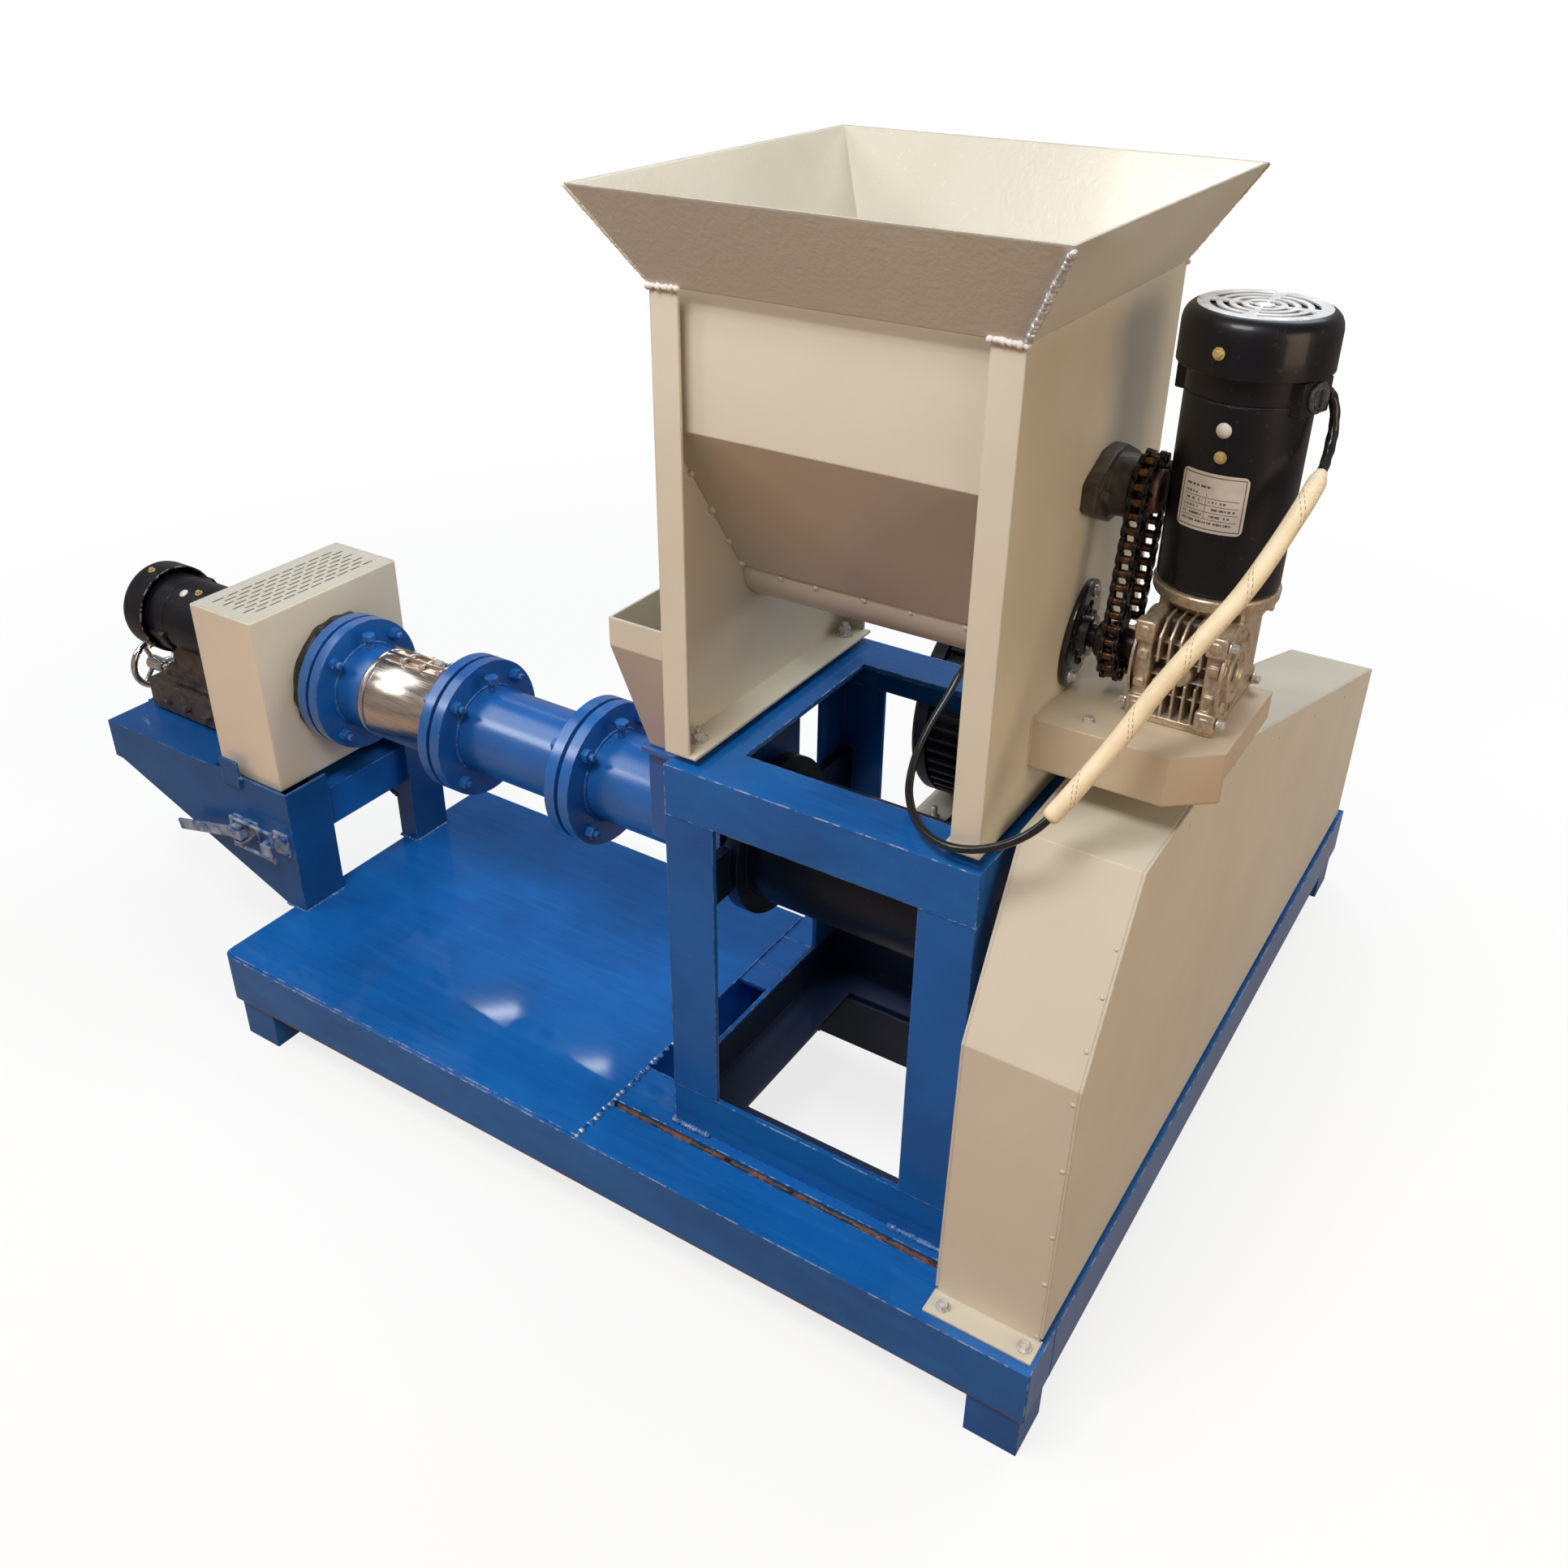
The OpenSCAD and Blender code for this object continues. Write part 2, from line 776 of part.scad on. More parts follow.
// a ring of corners around point i of the path, square to the path
function ring(path, i, r, n) =
    let (a = path[max(i - 1, 0)], b = path[min(i + 1, len(path) - 1)],
         d = (b - a) / norm(b - a), s = cross(d, [0, 0, 1]),
         u = s / norm(s), v = cross(u, d))
    [for (k = [0 : n - 1]) path[i] + r * (cos(360 * k / n) * u
                                          + sin(360 * k / n) * v)];

// a tube swept along a path as one polyhedron
module swept(path, r, n) {
    m = len(path);
    points = [for (i = [0 : m - 1]) each ring(path, i, r, n)];
    walls = [for (i = [0 : m - 2]) for (k = [0 : n - 1])
             [i * n + k, i * n + (k + 1) % n, (i + 1) * n + (k + 1) % n,
              (i + 1) * n + k]];
    first = [for (k = [0 : n - 1]) n - 1 - k];
    last = [for (k = [0 : n - 1]) (m - 1) * n + k];
    polyhedron(points, concat(walls, [first, last]), convexity = 8);
}

module power_cable() {
    color(black) at_base() swept(cable_line, 4, 8);
}

module cable_sleeve() {
    color(beige) at_base() difference() {
        swept([for (i = [5 : 12]) cable_line[i]], 8.5, 10);
        swept([for (i = [4 : 13]) cable_line[i]], 4.6, 8);
    }
}

base_long_beams();
base_cross_beams();
base_angles();
base_sheet();
feet();
tower_posts();
tower_frames();
bearing_housing();
inlet_barrel();
middle_barrel();
die_barrel();
heater_band();
die_head();
die_seal();
cutter_cover();
cutter_arms();
arm_deck();
slide_base();
slide_carriage();
cutter_motor();
cutter_fan_cover();
handwheel();
latch_base();
latch_lever();
latch_bail();
hopper_left_side();
hopper_right_side();
hopper_end_panels();
hopper_collar();
feed_tube();
side_chute();
agitator_bearing();
shaft_plate();
chain_sprockets();
roller_chain();
gearbox_shelf();
worm_gearbox();
feed_motor();
feed_fan_cover();
main_motor();
motor_mount();
guard_sheet();
guard_side_panels();
power_cable();
cable_sleeve();
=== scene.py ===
import json
import math
import random

import bmesh
import bpy
from mathutils import Matrix, Vector


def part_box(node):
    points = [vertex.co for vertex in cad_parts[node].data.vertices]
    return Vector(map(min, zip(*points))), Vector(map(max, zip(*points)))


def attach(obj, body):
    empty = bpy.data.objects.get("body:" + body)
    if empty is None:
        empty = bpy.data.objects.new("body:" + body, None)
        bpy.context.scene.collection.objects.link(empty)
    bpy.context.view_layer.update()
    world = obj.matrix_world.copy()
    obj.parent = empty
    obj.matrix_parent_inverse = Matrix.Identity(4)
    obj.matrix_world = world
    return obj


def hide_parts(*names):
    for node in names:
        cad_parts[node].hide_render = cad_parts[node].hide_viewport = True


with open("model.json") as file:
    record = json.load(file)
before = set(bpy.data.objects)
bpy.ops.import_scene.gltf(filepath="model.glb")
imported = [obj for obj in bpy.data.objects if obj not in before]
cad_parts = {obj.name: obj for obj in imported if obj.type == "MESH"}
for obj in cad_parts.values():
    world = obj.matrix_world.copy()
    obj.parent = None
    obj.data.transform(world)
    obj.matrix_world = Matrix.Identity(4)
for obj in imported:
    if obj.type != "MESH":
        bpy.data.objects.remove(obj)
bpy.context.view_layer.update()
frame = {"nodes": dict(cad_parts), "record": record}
nodes = frame["nodes"]
scene = bpy.context.scene

# every size below is in millimetres from the near right top corner of the base
beamLow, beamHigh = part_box("base_long_beams")
corner = Vector((beamHigh.x, beamLow.y, beamHigh.z))


def at(x, y, z):
    return corner + Vector((x, y, z)) / 1000


# a point on a circle round a line along X, whose centre is (y, z)
def onCircle(x, centre, reach, turn):
    return x, centre[0] + reach * math.cos(turn), centre[1] + reach * math.sin(turn)


# small mesh tools

def meshFrom(bm, name):
    mesh = bpy.data.meshes.new(name)
    bm.to_mesh(mesh)
    bm.free()
    return mesh


def smoothBy(mesh, degrees):
    bm = bmesh.new()
    bm.from_mesh(mesh)
    limit = math.radians(degrees)
    for face in bm.faces:
        face.smooth = True
    for edge in bm.edges:
        edge.smooth = len(edge.link_faces) == 2 and edge.calc_face_angle(3.0) < limit
    bm.to_mesh(mesh)
    bm.free()


# a named piece from a bmesh or a mesh, riding on a body
def newPiece(name, shape, material=None, body="machine", replaces=None, angle=35):
    mesh = meshFrom(shape, name) if isinstance(shape, bmesh.types.BMesh) else shape
    piece = bpy.data.objects.new(name, mesh)
    scene.collection.objects.link(piece)
    if material:
        mesh.materials.clear()
        mesh.materials.append(material)
    if angle:
        smoothBy(mesh, angle)
    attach(piece, body)
    if replaces:
        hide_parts(*replaces)
    return piece


def roundEdges(bm, edges, width, segments=2):
    bmesh.ops.bevel(bm, geom=edges, offset=width / 1000, segments=segments, profile=0.5, affect="EDGES",
                    clamp_overlap=True)


def addBox(bm, x, y, z):
    made = bmesh.ops.create_cube(bm, size=1)["verts"]
    size = (x[1] - x[0], y[1] - y[0], z[1] - z[0])
    bmesh.ops.scale(bm, vec=[s / 1000 for s in size], verts=made)
    middle = at((x[0] + x[1]) / 2, (y[0] + y[1]) / 2, (z[0] + z[1]) / 2)
    bmesh.ops.translate(bm, vec=middle, verts=made)
    return made


# a box with soft edges
def addBlock(bm, x, y, z, soft=1.0, segments=2):
    made = addBox(bm, x, y, z)
    roundEdges(bm, list({e for v in made for e in v.link_edges}), soft, segments)


# faces between neighbouring rings of points, where a ring of one point is a pole
def skin(bm, rings, closed=False):
    for a, b in zip(rings, rings[1:] + (rings[:1] if closed else [])):
        count = max(len(a), len(b))
        for i in range(count if count > 1 else 0):
            j = (i + 1) % count
            if len(a) == 1:
                bm.faces.new((a[0], b[j], b[i]))
            elif len(b) == 1:
                bm.faces.new((a[i], a[j], b[0]))
            else:
                bm.faces.new((a[i], a[j], b[j], b[i]))


# a solid of revolution: (along, radius) pairs about a line through start
def addLathe(bm, start, axis, outline, sides=64, closed=False):
    axis = Vector(axis).normalized()
    side = axis.orthogonal().normalized()
    other = axis.cross(side)
    rings = []
    for along, radius in outline:
        middle = at(*start) + axis * along / 1000
        if radius <= 0:
            rings.append([bm.verts.new(middle)])
            continue
        turns = [2 * math.pi * i / sides for i in range(sides)]
        rings.append([bm.verts.new(middle + (side * math.cos(turn) + other * math.sin(turn)) * radius / 1000)
                      for turn in turns])
    skin(bm, rings, closed)
    faces = {f for ring in rings for v in ring for f in v.link_faces}
    bmesh.ops.recalc_face_normals(bm, faces=list(faces))


# a piece that is the same solid of revolution at each point
def turned(name, material, points, axis, outline, sides, closed=False, **settings):
    bm = bmesh.new()
    for point in points:
        addLathe(bm, point, axis, outline, sides, closed)
    return newPiece(name, bm, material, **settings)


# a CAD node's mesh, merged, with flat faces whole again and sharp edges rounded
def roundedCopy(node, width):
    bm = bmesh.new()
    bm.from_mesh(nodes[node].data)
    bmesh.ops.remove_doubles(bm, verts=bm.verts, dist=2e-5)
    bmesh.ops.dissolve_limit(bm, angle_limit=math.radians(0.5), verts=bm.verts, edges=bm.edges)
    sharp = math.radians(40)
    roundEdges(bm, [e for e in bm.edges if e.is_manifold and e.calc_face_angle(0) > sharp], width)
    return bm


# materials

def newMaterial(name):
    material = bpy.data.materials.new(name)
    material.use_nodes = True
    tree = material.node_tree
    tree.nodes.clear()
    out = tree.nodes.new("ShaderNodeOutputMaterial")
    shader = tree.nodes.new("ShaderNodeBsdfPrincipled")
    tree.links.new(shader.outputs[0], out.inputs[0])
    return material, tree, shader


def setSocket(tree, socket, value):
    if isinstance(value, bpy.types.NodeSocket):
        tree.links.new(value, socket)
    else:
        socket.default_value = value


def addNode(tree, kind, values=None, **settings):
    node = tree.nodes.new(kind)
    for key, value in settings.items():
        setattr(node, key, value)
    for key, value in (values or {}).items():
        setSocket(tree, node.inputs[key], value)
    return node


def objectPoint(tree, scale=(1, 1, 1), turn=(0, 0, 0)):
    coords = addNode(tree, "ShaderNodeTexCoord")
    mapping = addNode(tree, "ShaderNodeMapping",
                      {"Vector": coords.outputs["Object"], "Scale": scale, "Rotation": turn})
    return mapping.outputs[0]


def noise(tree, scale, detail=3.0, rough=0.55, vector=None, distortion=0.0):
    vector = vector or objectPoint(tree)
    return addNode(tree, "ShaderNodeTexNoise", {"Vector": vector, "Scale": scale, "Detail": detail,
                   "Roughness": rough, "Distortion": distortion}).outputs["Fac"]


def ranged(tree, value, low, high, toLow=0.0, toHigh=1.0):
    return addNode(tree, "ShaderNodeMapRange", {"Value": value, "From Min": low, "From Max": high,
                   "To Min": toLow, "To Max": toHigh}).outputs[0]


def mixed(tree, factor, a, b):
    node = addNode(tree, "ShaderNodeMix", data_type="RGBA")
    setSocket(tree, node.inputs[0], factor)
    for index, colour in ((6, a), (7, b)):
        linked = isinstance(colour, bpy.types.NodeSocket)
        setSocket(tree, node.inputs[index], colour if linked else (*colour, 1))
    return node.outputs[2]


def maths(tree, operation, a, b=0.0, clamp=False):
    return addNode(tree, "ShaderNodeMath", {0: a, 1: b}, operation=operation, use_clamp=clamp).outputs[0]


def times(tree, a, b):
    return maths(tree, "MULTIPLY", a, b)


def plus(tree, a, b):
    return maths(tree, "ADD", a, b)


def minus(tree, a, b):
    return maths(tree, "SUBTRACT", a, b)


# 1 where a value lies between low and high
def strip(tree, value, low, high):
    return times(tree, maths(tree, "GREATER_THAN", value, low), maths(tree, "LESS_THAN", value, high))


# bumps laid on each other as (height, strength, distance), over edges softened by radius
def bumped(tree, shader, layers, radius=0.0):
    last = None
    if radius:
        last = addNode(tree, "ShaderNodeBevel", {"Radius": radius}, samples=4).outputs[0]
    for height, strength, distance in layers:
        bump = addNode(tree, "ShaderNodeBump", {"Height": height, "Strength": strength, "Distance": distance})
        if last:
            tree.links.new(last, bump.inputs["Normal"])
        last = bump.outputs[0]
    tree.links.new(last, shader.inputs["Normal"])


# 1 on sharp outer edges and 0 on flat faces
def edgeMask(tree, radius):
    bevel = addNode(tree, "ShaderNodeBevel", {"Radius": radius}, samples=4)
    geometry = addNode(tree, "ShaderNodeNewGeometry")
    dot = addNode(tree, "ShaderNodeVectorMath", {0: bevel.outputs[0], 1: geometry.outputs["Normal"]},
                  operation="DOT_PRODUCT")
    return ranged(tree, dot.outputs["Value"], 0.995, 0.80)


def paintFinish(name, base, **changes):
    look = {**base, **changes}
    material, tree, shader = newMaterial(name)
    cloud = noise(tree, look["cloudScale"], 4)
    colour = mixed(tree, ranged(tree, cloud, 0.3, 0.7), look["dark"], look["light"])
    specks = ranged(tree, noise(tree, 190, 2), 0.66, 0.72, 0, look["specks"])
    colour = mixed(tree, specks, colour, look["speckColour"])
    edge = edgeMask(tree, look["edge"])
    chips = ranged(tree, noise(tree, look["chipScale"], 5, 0.7), 0.48, 0.56)
    worn = times(tree, times(tree, edge, chips), look["wear"])
    colour = mixed(tree, worn, colour, look["bare"])
    tree.links.new(colour, shader.inputs["Base Color"])
    rough = ranged(tree, noise(tree, look["roughScale"], 3), 0.3, 0.7, look["rough"][0], look["rough"][1])
    tree.links.new(rough, shader.inputs["Roughness"])
    shader.inputs["Specular IOR Level"].default_value = look["specular"]
    shader.inputs["Coat Weight"].default_value = look["coat"]
    shader.inputs["Coat Roughness"].default_value = look["coatRough"]
    peel = noise(tree, look["peelScale"], 2)
    waves = noise(tree, look["waveScale"], 2)
    bumped(tree, shader, [(waves, look["waves"], 0.002), (peel, look["peel"], 0.0006)], look["edge"])
    return material


# colours are linear; dark and light are the coat's clouds, bare is what shows at worn edges
blueLook = {"dark": (0.003, 0.077, 0.300), "light": (0.005, 0.125, 0.450), "cloudScale": 6, "specks": 0.12,
            "speckColour": (0.06, 0.22, 0.46), "edge": 0.0025, "chipScale": 60, "wear": 0.75,
            "bare": (0.20, 0.32, 0.52), "rough": (0.34, 0.46), "roughScale": 9, "coat": 0.35,
            "coatRough": 0.12, "specular": 0.35, "peelScale": 420, "peel": 0.10, "waveScale": 14,
            "waves": 0.10}
beigeLook = {"dark": (0.60, 0.550, 0.445), "light": (0.67, 0.625, 0.515), "cloudScale": 4, "specks": 0.10,
             "speckColour": (0.72, 0.68, 0.60), "edge": 0.003, "chipScale": 45, "wear": 0.45,
             "bare": (0.82, 0.80, 0.74), "rough": (0.34, 0.46), "roughScale": 7, "coat": 0.12,
             "coatRough": 0.25, "specular": 0.40, "peelScale": 700, "peel": 0.12, "waveScale": 9,
             "waves": 0.06}
blackLook = {"dark": (0.004, 0.004, 0.007), "light": (0.008, 0.008, 0.012), "cloudScale": 12, "specks": 0.12,
             "speckColour": (0.12, 0.12, 0.13), "edge": 0.0015, "chipScale": 90, "wear": 0.35,
             "bare": (0.14, 0.14, 0.145), "rough": (0.30, 0.42), "roughScale": 25, "coat": 0.18,
             "coatRough": 0.10, "specular": 0.25, "peelScale": 900, "peel": 0.06, "waveScale": 30,
             "waves": 0.04}

bluePaint = paintFinish("blue paint", blueLook)
beigePaint = paintFinish("beige paint", beigeLook)
blackPaint = paintFinish("black paint", blackLook)
hammeredPaint = paintFinish("hammered beige paint", beigeLook, dark=(0.54, 0.505, 0.42),
                            light=(0.61, 0.575, 0.49), coat=0.25, coatRough=0.12, rough=(0.28, 0.38),
                            peelScale=190, peel=0.6, waveScale=40, waves=0.10, specks=0.30)
greasyBlack = paintFinish("greasy black paint", blackLook, coat=0.9, coatRough=0.06, waveScale=90, waves=0.6,
                          peelScale=260, peel=0.5, bare=(0.10, 0.10, 0.11))
glossyBlue = paintFinish("glossy blue paint", blueLook, coat=1.0, coatRough=0.22, specular=0.5, peelScale=240,
                         peel=0.5, rough=(0.30, 0.42))
# grey plastic for the brush caps; its light edges are a painted highlight on the cap rims
greyPlasticRimHighlight = paintFinish("grey plastic with painted rim highlight", blackLook, dark=(0.030, 0.031, 0.035), light=(0.05, 0.052, 0.06),
                          bare=(0.40, 0.40, 0.42), wear=0.9, coat=0.5)
latchBlue = paintFinish("worn latch paint", blueLook, dark=(0.008, 0.080, 0.270), light=(0.34, 0.42, 0.52),
                        cloudScale=60, bare=(0.62, 0.70, 0.80), wear=1.0, edge=0.0015, chipScale=150,
                        rough=(0.20, 0.32))
# the cutter arms get a darker copy of the blue: painted shade on their side faces
shadedBlue = paintFinish("shaded blue paint", blueLook, dark=(0.003, 0.052, 0.190),
                         light=(0.004, 0.088, 0.310))
# the bearing housing gets the blue darkened nearly to black: painted shade inside the tower
housingShadeBlue = paintFinish("blue paint with painted shade", blueLook, dark=(0.002, 0.008, 0.022), light=(0.003, 0.014, 0.040),
                         coat=0.1, rough=(0.35, 0.5), bare=(0.05, 0.06, 0.08))
wornBlue = paintFinish("blue paint over weld", blueLook, light=(0.03, 0.16, 0.46), bare=(0.62, 0.70, 0.80),
                       specks=0.45, speckColour=(0.50, 0.58, 0.70), chipScale=120, wear=0.9,
                       rough=(0.14, 0.26), peelScale=260, peel=0.5, edge=0.002)


# enamel brushed on by hand: streaks in the coat, painted shade on the sides that face into the tower, and
# rust along the beams' lower edges
def brushedFinish():
    material = paintFinish("brushed blue paint", blueLook, coat=0.70, coatRough=0.06, rough=(0.34, 0.46),
                           specular=0.2, waves=0.05, bare=(0.72, 0.70, 0.72), wear=1.0, edge=0.0022,
                           peel=0.05)
    tree = material.node_tree
    shader = tree.nodes["Principled BSDF"]
    streaks = noise(tree, 26, 5, 0.65, objectPoint(tree, (0.35, 5, 1), (0, 0, 0.25)), 0.6)
    fine = noise(tree, 60, 4, 0.6, objectPoint(tree, (1, 0.2, 1), (0, 0, -0.4)))
    colour = shader.inputs["Base Color"].links[0].from_socket
    shade = mixed(tree, ranged(tree, streaks, 0.42, 0.66, 0.0, 0.24), colour, (0.008, 0.20, 0.56))
    place = addNode(tree, "ShaderNodeSeparateXYZ", {"Vector": objectPoint(tree)})
    # the sides that face into the tower are darkened nearly to black: painted shade
    inside = ranged(tree, place.outputs["Z"], 0.190, 0.188)
    for socket, start, end in (("X", 0.2868, 0.2878), ("X", 0.6338, 0.6328), ("Y", -0.5172, -0.5164),
                               ("Y", 0.5470, 0.5462)):
        inside = times(tree, inside, ranged(tree, place.outputs[socket], start, end))
    shade = mixed(tree, times(tree, inside, 0.85), shade, (0.016, 0.012, 0.014))
    low = ranged(tree, place.outputs["Z"], 0.0636, 0.0622)
    rusty = times(tree, low, ranged(tree, noise(tree, 55, 5, 0.7), 0.42, 0.58))
    shade = mixed(tree, rusty, shade, (0.12, 0.05, 0.02))
    tree.links.new(shade, shader.inputs["Base Color"])
    bump = addNode(tree, "ShaderNodeBump", {"Height": streaks, "Strength": 0.09, "Distance": 0.0008,
                   "Normal": shader.inputs["Normal"].links[0].from_socket})
    last = addNode(tree, "ShaderNodeBump", {"Height": fine, "Strength": 0.05, "Distance": 0.0006,
                   "Normal": bump.outputs[0]})
    tree.links.new(last.outputs[0], shader.inputs["Normal"])
    return material


# beige paint with brown dust lying on it in patches
def stainedFinish():
    material = paintFinish("stained beige paint", beigeLook, dark=(0.54, 0.45, 0.33),
                           light=(0.62, 0.54, 0.41))
    tree = material.node_tree
    shader = tree.nodes["Principled BSDF"]
    colour = shader.inputs["Base Color"].links[0].from_socket
    patches = noise(tree, 6, 4, 0.6, objectPoint(tree), 0.3)
    shade = mixed(tree, ranged(tree, patches, 0.42, 0.66, 0.0, 0.4), colour, (0.40, 0.27, 0.16))
    tree.links.new(shade, shader.inputs["Base Color"])
    return material


brushedBlue = brushedFinish()
stainedBeige = stainedFinish()

metalLook = {"scale": 120, "stretch": (1, 1, 1), "stainScale": 90, "stains": 0.3, "metallic": 0.5,
             "bump": 0.2, "edge": 0.0005}


def metalFinish(name, **changes):
    look = {**metalLook, **changes}
    material, tree, shader = newMaterial(name)
    grain = noise(tree, look["scale"], 4, 0.6, objectPoint(tree, look["stretch"]))
    colour = mixed(tree, ranged(tree, grain, 0.3, 0.7), look["dark"], look["light"])
    stains = ranged(tree, noise(tree, look["stainScale"], 5, 0.7), 0.50, 0.66, 0, look["stains"])
    colour = mixed(tree, stains, colour, look["stain"])
    tree.links.new(colour, shader.inputs["Base Color"])
    shader.inputs["Metallic"].default_value = look["metallic"]
    rough = ranged(tree, grain, 0.3, 0.7, look["rough"][0], look["rough"][1])
    tree.links.new(rough, shader.inputs["Roughness"])
    bumped(tree, shader, [(grain, look["bump"], 0.0008)], look["edge"])
    return material


darkIron = metalFinish("dark iron", dark=(0.040, 0.037, 0.032), light=(0.11, 0.10, 0.088), scale=90,
                       stain=(0.10, 0.065, 0.04), stainScale=40, stains=0.35, metallic=0.35,
                       rough=(0.32, 0.55), bump=0.25, edge=0.001)
chainSteel = metalFinish("greasy chain steel", dark=(0.012, 0.010, 0.009), light=(0.030, 0.026, 0.024),
                         scale=160, stain=(0.045, 0.028, 0.018), stainScale=70, rough=(0.22, 0.45),
                         edge=0.0006)
hubSteel = metalFinish("brown hub steel", dark=(0.17, 0.095, 0.070), light=(0.36, 0.21, 0.15), scale=140,
                       stain=(0.02, 0.014, 0.012), stainScale=60, stains=0.4, metallic=0.4, rough=(0.35, 0.5),
                       bump=0.25, edge=0.0008)
rollerSteel = metalFinish("brown roller steel", dark=(0.026, 0.013, 0.008), light=(0.26, 0.125, 0.055),
                          scale=160, stain=(0.02, 0.013, 0.010), stainScale=70, stains=0.5, metallic=0.8,
                          rough=(0.16, 0.3), edge=0.0006)
# the warm brown tint of the polished stainless is a painted reflection of a brown floor
stainless = metalFinish("polished stainless with painted warm reflection", dark=(0.64, 0.54, 0.46), light=(0.86, 0.75, 0.66), scale=30,
                        stretch=(1, 14, 14), stain=(0.55, 0.48, 0.38), stainScale=25, stains=0.15,
                        metallic=1.0, rough=(0.16, 0.27), bump=0.08, edge=0.0008)
chromed = metalFinish("chrome plate", dark=(0.70, 0.70, 0.70), light=(0.85, 0.85, 0.85), scale=60,
                      stain=(0.40, 0.36, 0.30), stains=0.25, metallic=1.0, rough=(0.04, 0.12), bump=0.03,
                      edge=0.0006)
castAlloy = metalFinish("cast alloy", dark=(0.42, 0.33, 0.24), light=(0.70, 0.60, 0.48), scale=240,
                        stain=(0.24, 0.18, 0.12), stainScale=35, stains=0.35, metallic=0.65,
                        rough=(0.28, 0.44), bump=0.30, edge=0.001)
# dark alloy for grime, and on the gearbox core for the painted shade of the deep recess between the fins
grimeAndShadeAlloy = metalFinish("grime and painted shade alloy", dark=(0.05, 0.04, 0.03), light=(0.12, 0.095, 0.07), scale=140,
                         stain=(0.03, 0.022, 0.016), stainScale=35, rough=(0.45, 0.6), bump=0.35, edge=0.001)
zincSteel = metalFinish("zinc plated steel", dark=(0.50, 0.49, 0.48), light=(0.80, 0.79, 0.77),
                        stain=(0.35, 0.28, 0.18), metallic=0.55, rough=(0.20, 0.38), bump=0.15)
brass = metalFinish("brass", dark=(0.62, 0.44, 0.18), light=(0.90, 0.72, 0.38), stain=(0.28, 0.18, 0.08),
                    stains=0.25, metallic=0.6, rough=(0.18, 0.32), bump=0.1, edge=0.0004)
weldMetal = metalFinish("weld metal", dark=(0.45, 0.46, 0.48), light=(0.80, 0.81, 0.82), scale=110,
                        stain=(0.16, 0.20, 0.30), stainScale=60, stains=0.35, rough=(0.20, 0.42), bump=0.45)


def rubberFinish(name, dusty, rough):
    material, tree, shader = newMaterial(name)
    grain = noise(tree, 350, 3)
    colour = mixed(tree, grain, (0.006, 0.006, 0.006), (0.020, 0.020, 0.021))
    dust = ranged(tree, noise(tree, 18, 5, 0.7), 0.55, 0.75, 0, dusty)
    colour = mixed(tree, dust, colour, (0.07, 0.065, 0.06))
    tree.links.new(colour, shader.inputs["Base Color"])
    tree.links.new(ranged(tree, grain, 0.3, 0.7, rough[0], rough[1]), shader.inputs["Roughness"])
    bumped(tree, shader, [(grain, 0.15, 0.0004)])
    return material


blackRubber = rubberFinish("black rubber", 0.3, (0.18, 0.34))
glossyRubber = rubberFinish("glossy black rubber", 0.06, (0.10, 0.18))

slotFinish = {"blue_paint": bluePaint, "beige_paint": beigePaint, "black_paint": blackPaint,
              "dark_iron": darkIron, "greasy_steel": chainSteel, "stainless": stainless, "chromed": chromed,
              "alloy": castAlloy, "black_rubber": blackRubber, "woven_sleeve": beigePaint}
nodeFinish = {"cutter_arms": shadedBlue, "base_sheet": brushedBlue, "base_long_beams": brushedBlue,
              "base_cross_beams": brushedBlue, "tower_frames": brushedBlue, "bearing_housing": housingShadeBlue,
              "hopper_collar": hammeredPaint, "gearbox_shelf": stainedBeige, "shaft_plate": greasyBlack,
              "inlet_barrel": glossyBlue, "middle_barrel": glossyBlue, "die_barrel": glossyBlue,
              "die_head": glossyBlue, "latch_base": latchBlue, "latch_lever": latchBlue,
              "latch_bail": latchBlue}
for row in frame["record"]["subparts"]:
    mesh = nodes[row["node"]].data
    mesh.materials.clear()
    mesh.materials.append(nodeFinish.get(row["node"], slotFinish[row["material_slot"]]))
print("finishes on the frame")


# camera, floor and light

viewpoint = {"place": (273.7, -904.6, 1250.1), "right": (0.83909, 0.54396, 0.00591),
             "up": (-0.27418, 0.41351, 0.86824), "lens": 32.961, "sensor": 36, "shift": (0.00916, -0.03447),
             "farthest": 100}


def makeCamera():
    data = bpy.data.cameras.new("camera")
    camera = bpy.data.objects.new("camera", data)
    scene.collection.objects.link(camera)
    right, up = Vector(viewpoint["right"]), Vector(viewpoint["up"])
    turn = Matrix((right, up, right.cross(up))).transposed()
    camera.matrix_world = Matrix.Translation(at(*viewpoint["place"])) @ turn.to_4x4()
    data.sensor_width = viewpoint["sensor"]
    data.lens = viewpoint["lens"]
    data.shift_x, data.shift_y = viewpoint["shift"]
    data.clip_end = viewpoint["farthest"]
    scene.camera = camera


def areaLight(name, place, target, size, power, colour=(1, 1, 1), shiny=True):
    data = bpy.data.lights.new(name, "AREA")
    data.shape = "RECTANGLE"
    data.size, data.size_y = size
    data.energy = power
    data.color = colour
    lamp = bpy.data.objects.new(name, data)
    lamp.visible_glossy = shiny
    scene.collection.objects.link(lamp)
    aim = Vector(target) - Vector(place)
    lamp.matrix_world = Matrix.Translation(place) @ aim.to_track_quat("-Z", "Y").to_matrix().to_4x4()


def mixedShader(tree, factor, a, b):
    mix = addNode(tree, "ShaderNodeMixShader", {"Fac": factor})
    tree.links.new(a.outputs[0], mix.inputs[1])
    tree.links.new(b.outputs[0], mix.inputs[2])
    return mix


